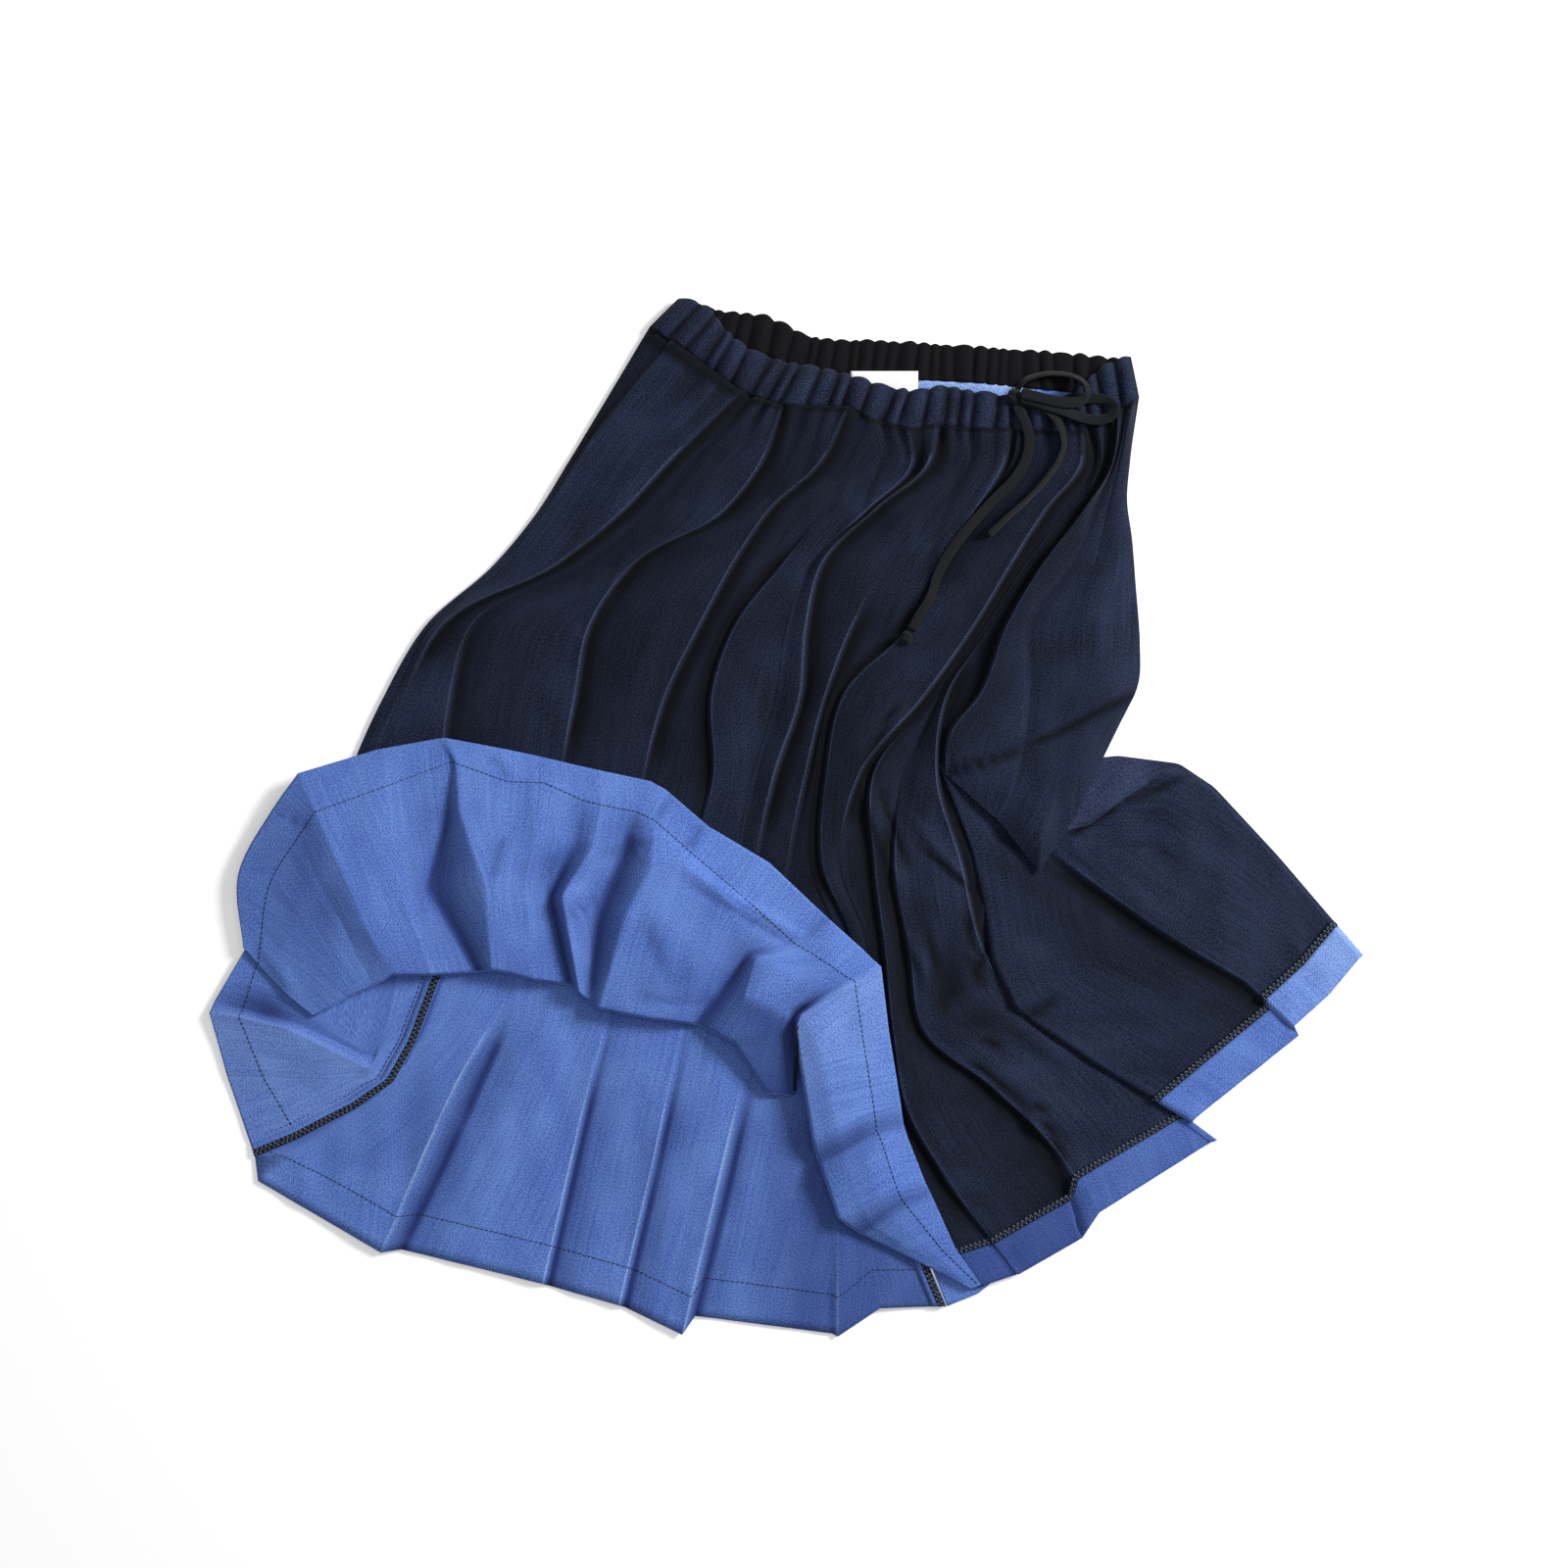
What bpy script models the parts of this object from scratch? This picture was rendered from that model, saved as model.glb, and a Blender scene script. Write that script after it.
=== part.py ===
"""A pleated midi skirt of double-faced cotton twill with a drawstring waist, laid flat on its back.

The front hem at the left is thrown up, so its blue inside shows. +Y runs to the waist, +Z is up, and
the underside rests on z = 0. Places on the layout are counted in steps of a grid, x to the right and
y towards the hem, and heights are in millimetres.
"""

from collections import namedtuple

import bpy
import numpy as np
from mathutils import Matrix
from mathutils.bvhtree import BVHTree

GRID = 0.00075  # metres in one step of the layout grid
CENTRE_X = 802.5
CENTRE_Y = 833.5
MM = 0.001
CLOTH = 1.5  # mm, the wall of one layer of cloth
GAP = 0.3  # mm between two pieces
HEM_TURN_UP = 40.0  # grid steps, 30 mm
TAPE_WIDTH = 8.0  # mm, the drawstring
TAPE_THICK = 2.4  # mm
STEEPEST = 0.5  # a wall is thickened on slopes down to this upward part of its normal

for old in list(bpy.data.objects):
    bpy.data.objects.remove(old, do_unlink=True)


def finish(name, base, roughness):
    """A Principled material with one colour and roughness."""
    material = bpy.data.materials.new(name)
    material.use_nodes = True
    shader = material.node_tree.nodes["Principled BSDF"]
    shader.inputs["Base Color"].default_value = (*base, 1.0)
    shader.inputs["Roughness"].default_value = roughness
    return material


NAVY = finish("navy_twill", (0.012, 0.018, 0.042), 0.85)
BLUE = finish("blue_twill", (0.13, 0.23, 0.62), 0.85)
BLACK = finish("black_tape", (0.008, 0.008, 0.009), 0.9)
WHITE = finish("white_tape", (0.82, 0.82, 0.8), 0.8)


def metres(grid):
    """Layout points (x, y in grid steps, z in millimetres) as metres about the skirt's middle."""
    out = np.empty_like(grid)
    out[..., 0] = (grid[..., 0] - CENTRE_X) * GRID
    out[..., 1] = (CENTRE_Y - grid[..., 1]) * GRID
    out[..., 2] = grid[..., 2] * MM
    return out


def curve_through(stations, cells):
    """Points of a smooth curve through the stations, with so many cells between each two.

    It is a Hermite curve whose slope at a station leans towards its nearer neighbour, so that it never
    swings past one.
    """
    stations = np.asarray(stations, float)
    steps = np.diff(stations, axis=0)
    lengths = np.maximum(np.linalg.norm(steps, axis=1), 1e-6)[:, None]
    slopes = steps / lengths
    middle = (slopes[:-1] * lengths[1:] + slopes[1:] * lengths[:-1]) / (lengths[1:] + lengths[:-1])
    slope = np.concatenate([slopes[:1], middle, slopes[-1:]])
    t = np.arange(cells)[:, None] / cells
    pieces = []
    for k, length in enumerate(lengths):
        start = (1 + 2 * t) * (1 - t) ** 2 * stations[k] + t * (1 - t) ** 2 * length * slope[k]
        end = t**2 * (3 - 2 * t) * stations[k + 1] - t**2 * (1 - t) * length * slope[k + 1]
        pieces.append(start + end)
    return np.concatenate([*pieces, stations[-1:]])


def across(columns, cells, swell):
    """A grid between columns of points: straight faces from column to column that swell up by so many mm."""
    parts = []
    for k in range(len(columns) - 1):
        for step in range(cells[k]):
            t = step / cells[k]
            row = columns[k] * (1 - t) + columns[k + 1] * t
            row[:, 2] += 4 * t * (1 - t) * swell
            parts.append(row)
    parts.append(columns[-1])
    return np.stack(parts, axis=1)


def normals_of(points):
    """Unit normals of a grid in metres, from the differences along its rows and its columns."""
    down = np.gradient(points, axis=0)
    right = np.gradient(points, axis=1)
    normal = np.cross(down, right)
    return normal / np.maximum(np.linalg.norm(normal, axis=-1, keepdims=True), 1e-12)


def closed_wall(name, upper, lower, material, cells=None):
    """One closed body between two grids of points in metres. cells marks the squares that are cloth."""
    rows, columns = upper.shape[:2]
    if cells is None:
        cells = np.ones((rows - 1, columns - 1), bool)
    index = np.arange(rows * columns).reshape(rows, columns)
    squares = np.stack([index[:-1, :-1], index[1:, :-1], index[1:, 1:], index[:-1, 1:]], axis=-1)[cells]
    shift = rows * columns
    faces = [*squares.tolist(), *(squares[:, ::-1] + shift).tolist()]
    edges = np.concatenate([squares[:, [k, (k + 1) % 4]] for k in range(4)])
    directed = {tuple(edge) for edge in edges.tolist()}
    faces += [[b, a, a + shift, b + shift] for a, b in edges.tolist() if (b, a) not in directed]
    mesh = bpy.data.meshes.new(name)
    mesh.from_pydata(np.concatenate([upper.reshape(-1, 3), lower.reshape(-1, 3)]).tolist(), [], faces)
    mesh.materials.append(material)
    obj = bpy.data.objects.new(name, used_points(mesh))
    bpy.context.scene.collection.objects.link(obj)
    return obj


def used_points(mesh):
    """The mesh without the points that no face uses, shaded smooth."""
    used = np.zeros(len(mesh.vertices), bool)
    for polygon in mesh.polygons:
        used[list(polygon.vertices)] = True
    renumber = np.cumsum(used) - 1
    points = [tuple(v.co) for v, keep in zip(mesh.vertices, used) if keep]
    faces = [[int(renumber[v]) for v in polygon.vertices] for polygon in mesh.polygons]
    tidy = bpy.data.meshes.new(mesh.name)
    tidy.from_pydata(points, [], faces)
    for material in mesh.materials:
        tidy.materials.append(material)
    tidy.shade_smooth()
    return tidy


def hung_wall(name, grid, material, lowest, cells=None, thick=CLOTH):
    """A wall whose underside is straight below its top, thicker on slopes to stay one cloth thick."""
    upper = metres(grid)
    upward = np.maximum(np.abs(normals_of(upper)[..., 2]), STEEPEST)
    lower = upper.copy()
    lower[..., 2] = np.maximum(lower[..., 2] - thick * MM / upward, lowest * MM)
    return closed_wall(name, upper, lower, material, cells)


Fold = namedtuple("Fold", "name side step first last ground stations")

LEVELS = (0, 470, 520, 575, 640, 710, 790, 880, 970, 0, 0, 0, 0)
BASE = (8.5, 8.0, 7.5, 7.0, 6.8, 6.5, 6.0, 6.0, 6.0, 5.4, 5.0, 5.0, 5.0)
WAIST_SEAM = (
    (663, 332), (700, 356), (727, 380), (762, 402), (825, 421), (864, 415), (905, 434), (941, 440),
    (967, 429), (1001, 444), (1030, 437), (1076, 452), (1110, 438), (1140, 420), (1163, 405),
)
EDGE_HEIGHT = 3.8
FRONT_LOWEST = 2.5  # mm, under which the front does not hang

LEFT_FOLDS = (
    Fold("side", 0, 0, 0, 0, 0, (663, 580, 549, 504, 432, 391, 356, 336, (345, 985))),
    Fold("side_pleat", -1, 2.5, 0, 1, 0, (686, 591, 559, 515, 439, 400, 366, 346, (356, 982))),
    Fold("long_diagonal", 1, 6, 0, 4, 1, (756, 683, 636, 568, 448, 410, 376, 356, (368, 978))),
    Fold("shaded_dip", 1, 3, 4, 7, -1, (768, 706, 662, 598, 478, 458, 449, 440, (440, 962))),
    Fold("nosed_pleat", 1, 6, 0, 5.4, 0, (797, 776, 738, 645, 600, 586, 571, 560, (552, 965))),
    Fold("second_pleat", 1, 7, 0, 5.5, 1, (864, 837, 784, 747, 712, 678, 656, 640, (627, 992))),
    Fold("pocket_edge", -1, 4, 3, 6, 0, (892, 900, 845, 800, 750, 727, 729, 705, (690, 1010))),
    Fold("waist_pucker", 1, 5, 0, 2, 0, (925, 930, 884, 826, 802, 792, 768, 750, (722, 1020))),
    Fold("third_pleat", 1, 6, 0, 6.4, 0, (956, 948, 892, 838, 822, 816, 790, 770, (744, 1030))),
    Fold("soft_ridge", 1, 4, 4, 6.6, 0, (985, 985, 950, 905, 868, 841, 821, 803, (785, 1045))),
)
MIDDLE_FOLDS = (
    Fold("string_pleat", 1, 5, 0, 3, 0,
         (1031, 1024, 994, 955, 921, 850, 833, 827, 856, (834, 1056), (854, 1148), (886, 1232))),
    Fold("string_pleat_low", -1, 5, 4, 7.4, 0,
         (1040, 1034, 1004, 966, 929, 861, 844, 840, 871, (850, 1052), (868, 1142), (904, 1227))),
    Fold("pocket_pleat", 1, 8, 0, 6, 1,
         (1103, 1103, 1066, 1031, 992, 942, 876, 857, 885, (868, 1050), (888, 1138), (932, 1222),
          (997, 1314))),
    Fold("strip_pleat", -1, 5, 6, 11, -1,
         (1112, 1119, 1088, 1046, 1004, 955, 892, 893, 904, (912, 1050), (926, 1130), (965, 1200),
          (1040, 1301))),
    Fold("corner_pleat", -1, 5, 7, 12, -1,
         (1118, 1122, 1092, 1050, 1008, 960, 925, 914, 929, (944, 1052), (1012, 1108), (1072, 1166),
          (1122, 1237))),
    Fold("twist_pleat", 1, 6, 5, 7.6, -0.6,
         (1124, 1125, 1096, 1054, 1012, 965, 955, 980, 1003, (1022, 1006), (1072, 1050), (1148, 1101),
          (1236, 1166))),
    Fold("under_flap", 0, 0, 0, 0, -1.2,
         (1132, 1133, 1104, 1062, 1020, 973, 962, (989, 842), (1016, 926), (1033, 1000), (1080, 1047),
          (1155, 1099), (1243, 1164))),
)
FLAP_FOLDS = (
    Fold("flap_pleat", -1, 8, 0, 5.6, 3.5,
         (1142, 1129, 1103, 1060, 1027, (1001, 708), (970, 750), (966, 782), (966, 791))),
    Fold("flap_press_line", 1, 1, 3, 6, 7,
         (1148, 1136, 1116, 1090, (1048, 632), (1046, 700), (1040, 757), (1018, 828), (1014, 834))),
    Fold("flap_tip", 0, 0, 0, 0, 7,
         (1153, 1142, 1130, (1120, 565), (1100, 620), (1097, 685), (1082, 738), (1061, 885), (1061, 890))),
    Fold("flap_edge", 0, 0, 0, 0, 6,
         (1158, 1148, (1142, 515), (1142, 555), (1137, 610), (1135, 672), (1130, 714), (1096, 824),
          (1097, 832))),
    Fold("flap_side", 0, 0, 0, 0, 0,
         (1163, 1154, (1151, 510), (1156, 550), (1160, 600), (1164, 660), (1163, 694), (1159, 708),
          (1151, 723))),
)
FLAP_LIFT = (0, 0, 0, 0.2, 0.4, 0.6, 0.9, 1.0, 0.75)
FOOT_AT_HEM = {"corner_pleat": (1105, 1264)}
AT_SEAM = 0.25  # share of a fold that stands where it is sewn to the waistband
FLAT_LEVELS = 7  # levels at one height on the sheet in every column
LEAST_STEP = 1.2  # grid steps between two columns
FADE = 0.8  # levels over which a fold comes and goes
NARROW_STEP, WIDE_STEP = 2.0, 5.0  # grid steps from a fold's crest to its foot, flat and standing
UNDERCUT = 1.0  # mm that a standing fold's foot sinks below the ground
FACE_SWELL = 0.8  # mm that a pleat's face swells up between two folds
ALONG_CELLS = 2  # squares between two stations
FACE_CELLS = 2  # squares across a pleat's face


def fold_strength(fold, level):
    """How much of a fold stands at a level: 1 from its first to its last, fading out beyond them."""
    before = max(fold.first - level, 0.0)
    after = max(level - fold.last, 0.0)
    return float(np.clip(1 - max(before, after) / FADE, 0, 1))


def fold_columns(fold, lift):
    """The stations of a fold's crest and, where it has a side, of the foot that it drops to."""
    seam_x, seam_y = np.array(WAIST_SEAM, float).T
    crest = []
    foot = []
    for level, cell in enumerate(fold.stations):
        x, y = cell if isinstance(cell, tuple) else (cell, LEVELS[level])
        if level == 0:
            y = np.interp(x, seam_x, seam_y)
        ground = BASE[level] + fold.ground * lift[level]
        strength = fold_strength(fold, level) * (AT_SEAM if level == 0 else 1)
        crest.append((x, y, ground + fold.step * strength))
        step = NARROW_STEP + (WIDE_STEP - NARROW_STEP) * strength
        foot.append((x + fold.side * step, y, ground - UNDERCUT * strength))
    if fold.name in FOOT_AT_HEM:
        foot[-1] = (*FOOT_AT_HEM[fold.name], foot[-1][2])
    if fold.side == 0:
        return [np.array(crest)]
    pair = [np.array(crest), np.array(foot)]
    return pair if fold.side > 0 else pair[::-1]


def dark_front():
    """The front's grid in layout units, the squares of it that are cloth, and each fold's column numbers."""
    even = (1,) * len(LEVELS)
    columns = []
    cells = []
    names = []
    for group, lift in ((LEFT_FOLDS, even), (MIDDLE_FOLDS, even), (FLAP_FOLDS, FLAP_LIFT)):
        first_of_group = len(columns)
        for fold in group:
            pair = fold_columns(fold, lift)
            if fold.side == 0:
                pair[0][:, 2] = np.where(fold.ground == 0, EDGE_HEIGHT, pair[0][:, 2])
            columns += pair
            names += [f"{fold.name} {side}" for side in ("left", "right")[: len(pair)]]
            cells += [1] * (len(pair) - 1) + [FACE_CELLS]
    for k in range(1, len(columns)):
        shared = min(len(columns[k - 1]), len(columns[k]), FLAT_LEVELS)
        columns[k][:shared, 0] = np.maximum(columns[k][:shared, 0], columns[k - 1][:shared, 0] + LEAST_STEP)
    ends = [len(stations) - 1 for stations in columns]
    longest = max(len(stations) for stations in columns)
    curves = []
    for stations in columns:
        samples = curve_through(stations, ALONG_CELLS)
        level_rows = min(len(samples), (FLAT_LEVELS - 1) * ALONG_CELLS + 1)
        if curves:
            apart = curves[-1][:level_rows, 0] + LEAST_STEP
            samples[:level_rows, 0] = np.maximum(samples[:level_rows, 0], apart)
        rest = np.repeat(samples[-1:], (longest - len(stations)) * ALONG_CELLS, axis=0)
        curves.append(np.concatenate([samples, rest]))
    grid = across(curves, cells[:-1], FACE_SWELL)
    mask = np.zeros((grid.shape[0] - 1, grid.shape[1] - 1), bool)
    column = 0
    for k, count in enumerate(cells[:-1]):
        last = min(ends[k], ends[k + 1])
        if k + 1 == first_of_group:
            last = FLAT_LEVELS - 1
        mask[: last * ALONG_CELLS, column : column + count] = True
        column += count
    starts = np.concatenate([[0], np.cumsum(cells[:-1])])
    return grid, mask, dict(zip(names, starts.tolist()))


Pleat = namedtuple("Pleat", "name stations")  # each station is x, y and the height of the cloth

RIGHT_LOWEST = 2.1  # mm
RIGHT_PLEATS = (
    Pleat("under_twist_foot", ((979, 812, 7.2), (991, 864, 7.2), (1005, 926, 7.4), (1011, 978, 7.4),
                               (1034, 1031, 7.4), (1104, 1079, 7.4), (1162, 1114, 7.4), (1216, 1146, 7.2))),
    Pleat("under_twist", ((982, 809, 7.3), (995, 862, 7.8), (1009, 924, 8.5), (1016, 975, 10),
                          (1039, 1027, 10.5), (1108, 1075, 10), (1165, 1110, 9.6), (1220, 1141, 9.0))),
    Pleat("lower_pleat_foot", ((1036, 838, 5), (1060, 868, 5), (1093, 893, 5), (1131, 919, 5),
                               (1177, 951, 5), (1222, 979, 5), (1266, 1005, 5), (1326, 1057, 4.8))),
    Pleat("lower_pleat", ((1041, 833, 5.5), (1066, 862, 6), (1097, 884, 10), (1135, 913, 11),
                          (1180, 945, 11), (1225, 973, 10.5), (1270, 999, 10), (1321, 1047, 8.5))),
    Pleat("upper_face", ((1049, 829, 5), (1074, 856, 6), (1105, 864, 7.5), (1142, 865, 8),
                         (1187, 866, 8), (1232, 892, 7.5), (1287, 938, 7), (1358, 1014, 6.5))),
    Pleat("turned_ridge", ((1058, 824, 5), (1082, 848, 7), (1112, 842, 10), (1150, 812, 10.5),
                           (1192, 785, 9), (1236, 806, 7), (1301, 876, 6), (1388, 978, 5.5))),
    Pleat("far_side", ((1066, 812, 3.6), (1086, 800, 3.6), (1112, 774, 3.6), (1142, 771, 3.4),
                       (1204, 779, 3.4), (1240, 803, 3.4), (1305, 873, 3.4), (1392, 975, 3.4))),
)

RIGHT_CELLS = (1, 3, 1, 2, 2, 1)

THROWN_UP = (
    Pleat("corner_valley", ((248, 967, 9), (263, 985, 8.4), (277, 1000, 8), (293, 1016, 8),
                            (318, 1036, 7.5))),
    Pleat("left_face", ((243, 890, 12), (281, 893, 16), (305, 925, 19), (332, 970, 18), (358, 1014, 13))),
    Pleat("left_ridge", ((303, 791, 15), (323, 828, 21), (348, 880, 26), (376, 947, 25), (400, 993, 17))),
    Pleat("left_panel", ((385, 768, 14), (392, 803, 18), (405, 860, 22), (424, 925, 22), (440, 993, 16))),
    Pleat("facet_valley", ((446, 754, 14), (458, 776, 15), (452, 830, 14), (440, 905, 12), (476, 991, 12))),
    Pleat("facet_ridge", ((455, 753, 17), (465, 776, 21), (471, 830, 27), (494, 905, 30), (504, 988, 19))),
    Pleat("short_crease", ((519, 765, 15), (519, 797, 19), (512, 850, 24), (508, 905, 25), (538, 997, 17))),
    Pleat("deep_valley", ((585, 780, 14), (598, 818, 16), (590, 860, 17), (554, 925, 13), (570, 1004, 12))),
    Pleat("deep_ridge", ((612, 786, 15), (614, 822, 19), (606, 865, 22), (571, 922, 25), (592, 1014, 18))),
    Pleat("peak_valley", ((664, 798, 14), (652, 828, 15), (642, 862, 14), (612, 935, 14), (602, 1018, 13))),
    Pleat("peak_ridge", ((680, 804, 16), (670, 836, 20), (664, 870, 27), (640, 935, 30), (618, 1027, 19))),
    Pleat("broad_face", ((723, 841, 15), (706, 869, 20), (694, 888, 27), (684, 940, 27), (662, 1039, 17))),
    Pleat("broad_middle", ((785, 880, 15), (764, 915, 18), (744, 942, 21), (713, 975, 21),
                           (695, 1043, 16))),
    Pleat("pocket_valley", ((840, 932, 14), (812, 966, 15), (776, 973, 14), (740, 998, 11), (720, 1053, 11))),
    Pleat("pocket_ridge", ((852, 943, 16), (828, 973, 20), (787, 986, 23), (757, 1010, 24),
                           (738, 1066, 17))),
    Pleat("corner_ridge", ((900, 986, 16), (872, 1000, 22), (838, 1022, 24), (803, 1058, 22),
                           (781, 1114, 14))),
    Pleat("strip_top", ((907, 1052, 14), (877, 1062, 18), (850, 1078, 18), (830, 1094, 17), (816, 1118, 13))),
    Pleat("strip_step", ((922, 1140, 13), (894, 1146, 16), (874, 1154, 17), (855, 1163, 16), (833, 1172, 12))),
    Pleat("strip_fold", ((944, 1206, 13), (916, 1216, 16), (894, 1226, 16), (877, 1234, 15), (856, 1243, 11))),
    Pleat("strip_low", ((975, 1274, 12), (962, 1276, 12), (952, 1279, 12), (943, 1281, 11), (930, 1283, 9))),
    Pleat("hem_corner", ((1001, 1311, 9.5), (999, 1312, 9.5), (997, 1313, 9.5), (995, 1314, 9.5),
                         (992, 1315, 8.5))),
)
FOLD_RADIUS = 3.0  # grid steps that the turned-back cloth bulges past its fold
TUCK = 20.0  # grid steps that it runs on under the fold
TUCK_HEIGHT = 5.2  # mm, the top of the cloth there

LEFT_CORNER = (
    Pleat("side_seam", ((259, 1182, 2.0), (300, 1165, 2.2), (350, 1140, 2.4), (402, 1104, 2.6),
                        (425, 1062, 2.6), (452, 990, 2.6))),
    Pleat("corner_face", ((231, 1100, 3), (268, 1112, 5), (318, 1108, 6.5), (376, 1100, 4.6),
                          (410, 1060, 3.2), (434, 988, 3))),
    Pleat("corner_ridge", ((213, 1034, 6), (262, 1040, 9), (300, 1055, 11), (360, 1085, 8.5),
                           (402, 1056, 3.6), (424, 986, 3.0))),
    Pleat("corner_dip", ((221, 1016, 5), (266, 1031, 4.4), (304, 1047, 4.2), (366, 1070, 4),
                         (392, 1044, 3.2), (408, 984, 3.0))),
    Pleat("corner_valley", ((251, 966, 6), (267, 984, 5.2), (283, 1000, 4.4), (312, 1026, 3.2),
                            (352, 1004, 3.0), (382, 976, 3.0))),
)

BACK_PLEATS = (
    Pleat("left_side", ((694, 338, 1.4), (610, 450, 1.4), (466, 650, 1.4), (400, 830, 1.4),
                        (453, 991, 1.6), (390, 1113, 1.8), (262, 1206, 2.2))),
    Pleat("first_crease", ((728, 349, 1.6), (660, 450, 1.6), (520, 650, 1.6), (480, 830, 1.8),
                           (519, 997, 2.0), (462, 1110, 4.5), (388, 1279, 5.0))),
    Pleat("first_dip", ((735, 352, 1.5), (668, 450, 1.5), (530, 650, 1.5), (489, 830, 1.5),
                        (526, 999, 2.0), (482, 1120, 2.0), (409, 1276, 2.2))),
    Pleat("second_crease", ((800, 369, 1.6), (770, 450, 1.6), (680, 650, 1.6), (634, 830, 1.8),
                            (624, 1010, 2.0), (592, 1140, 4.0), (553, 1311, 4.2))),
    Pleat("second_dip", ((804, 371, 1.5), (775, 450, 1.5), (686, 650, 1.5), (640, 830, 1.5),
                         (630, 1012, 1.8), (598, 1142, 1.8), (559, 1313, 2.0))),
    Pleat("third_crease", ((870, 381, 1.6), (850, 450, 1.6), (780, 650, 1.6), (730, 830, 1.8),
                           (700, 1020, 2.0), (670, 1165, 4.0), (631, 1333, 4.2))),
    Pleat("third_dip", ((875, 382, 1.5), (855, 450, 1.5), (786, 650, 1.5), (736, 830, 1.5),
                        (706, 1022, 1.8), (676, 1167, 1.8), (637, 1335, 2.0))),
    Pleat("fourth_crease", ((930, 385, 1.6), (915, 450, 1.6), (860, 650, 1.6), (810, 830, 1.8),
                            (774, 1030, 2.0), (736, 1190, 4.4), (696, 1363, 4.8))),
    Pleat("fourth_dip", ((937, 386, 1.5), (923, 450, 1.5), (868, 650, 1.5), (818, 830, 1.5),
                         (782, 1032, 1.8), (745, 1200, 1.8), (709, 1344, 2.0))),
    Pleat("fifth_dip", ((1000, 389, 1.5), (985, 450, 1.5), (940, 650, 1.5), (900, 830, 1.5),
                        (862, 1020, 1.6), (850, 1200, 2.0), (849, 1362, 2.2))),
    Pleat("fifth_crease", ((1006, 390, 1.6), (991, 450, 1.6), (946, 650, 1.6), (906, 830, 1.8),
                           (868, 1022, 2.0), (856, 1202, 2.2), (855, 1365, 4.2))),
    Pleat("sixth_crease", ((1026, 392, 1.6), (1020, 450, 1.6), (970, 650, 1.6), (930, 830, 1.8),
                           (890, 1020, 2.0), (880, 1240, 2.2), (898, 1336, 4.2))),
    Pleat("right_seam", ((1055, 395, 1.4), (1060, 450, 1.4), (1020, 650, 1.4), (990, 830, 1.4),
                         (950, 1020, 1.6), (937, 1262, 1.8), (966, 1334, 2.2))),
)
BESIDE_SEAM = ((454, 991), (431, 1058), (405, 1110), (301, 1171), (262, 1206))  # the back's left side there
WRAPPED_UNDER = (
    Pleat("right_seam", ((1056, 395, 1.4), (1061, 450, 1.4), (1021, 650, 1.4), (991, 830, 1.4),
                         (951, 1020, 1.6), (938, 1262, 1.8), (967, 1334, 2.2))),
    Pleat("corner", ((1078, 397, 1.4), (1085, 450, 1.4), (1050, 650, 1.4), (1020, 830, 1.4),
                     (990, 1020, 1.6), (972, 1262, 2.0), (999, 1321, 2.4))),
    Pleat("hidden_middle", ((1112, 401, 1.4), (1115, 450, 1.4), (1100, 650, 1.4), (1075, 790, 1.4),
                            (1100, 980, 1.5), (1140, 1120, 1.6), (1205, 1148, 1.6))),
    Pleat("hidden_side", ((1148, 404, 1.4), (1149, 450, 1.4), (1156, 650, 1.4), (1122, 775, 1.4),
                          (1225, 812, 1.4), (1295, 880, 1.5), (1384, 974, 1.6))),
)


def pleated(rows, cells=None):
    """The grid through a table of pleats, with the same squares across each face or so many for each."""
    columns = [curve_through(row.stations, ALONG_CELLS) for row in rows]
    return across(columns, cells or (FACE_CELLS,) * (len(rows) - 1), 0.0)


def right_column(name):
    """The number of a named pleat's column in the right-hand pleats' grid."""
    return sum(RIGHT_CELLS[: [row.name for row in RIGHT_PLEATS].index(name)])


def turned_under(rows):
    """The thrown-up pleats carried round their fold and on beneath it."""
    longer = []
    for row in rows:
        stations = np.array(row.stations, float)
        way = stations[-1, :2] - stations[-2, :2]
        way = way / np.linalg.norm(way)
        last = stations[-1]
        nose = [*(last[:2] + way * FOLD_RADIUS), (last[2] + TUCK_HEIGHT) / 2]
        under = [*(last[:2] - way * 0.3 * TUCK), TUCK_HEIGHT]
        tucked = [*(last[:2] - way * TUCK), TUCK_HEIGHT]
        if row.name == "hem_corner":
            nose, under, tucked = ([*(last[:2] + way * step), last[2] - step] for step in (1, 2, 3))
        longer.append(Pleat(row.name, (*row.stations, nose, under, tucked)))
    return longer


def offset_wall(name, grid, material, thick=CLOTH):
    """A wall whose underside is moved in along the cloth's normals, for cloth that turns over."""
    upper = metres(grid)
    normal = normals_of(upper)
    lower = upper - normal * thick * MM
    return closed_wall(name, upper, lower, material)


def resting(name, grid, material):
    """A closed body from the cloth's top down to the surface it rests on."""
    upper = metres(grid)
    lower = upper.copy()
    lower[..., 2] = 0.0
    return closed_wall(name, upper, lower, material)


def lying_on(name, grid, material, thick, clear=GAP):
    """A layer that lies on a panel: the panel's own points, moved up."""
    lower = metres(grid)
    lower[..., 2] += clear * MM
    upper = lower.copy()
    upper[..., 2] += thick * MM
    return closed_wall(name, upper, lower, material)


def up_from_hem(column, distances):
    """Points on a column of cloth at these distances from its hem, in grid steps."""
    steps = np.linalg.norm(np.diff(column[:, :2], axis=0), axis=1)
    run = np.concatenate([np.cumsum(steps[::-1])[::-1], [0.0]])
    return np.stack([[np.interp(d, run[::-1], column[::-1, k]) for k in range(3)] for d in distances])


def hem_turn_up(name, grid, first, last):
    """The hem's allowance, turned up on the outside of a pleat face between two columns of its panel."""
    distances = (HEM_TURN_UP, HEM_TURN_UP / 2, 0)
    columns = [up_from_hem(grid[:, column], distances) for column in range(first, last + 1)]
    lying_on(name, np.stack(columns, axis=1), BLUE, HEM_THICK, HEM_CLEAR)


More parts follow.
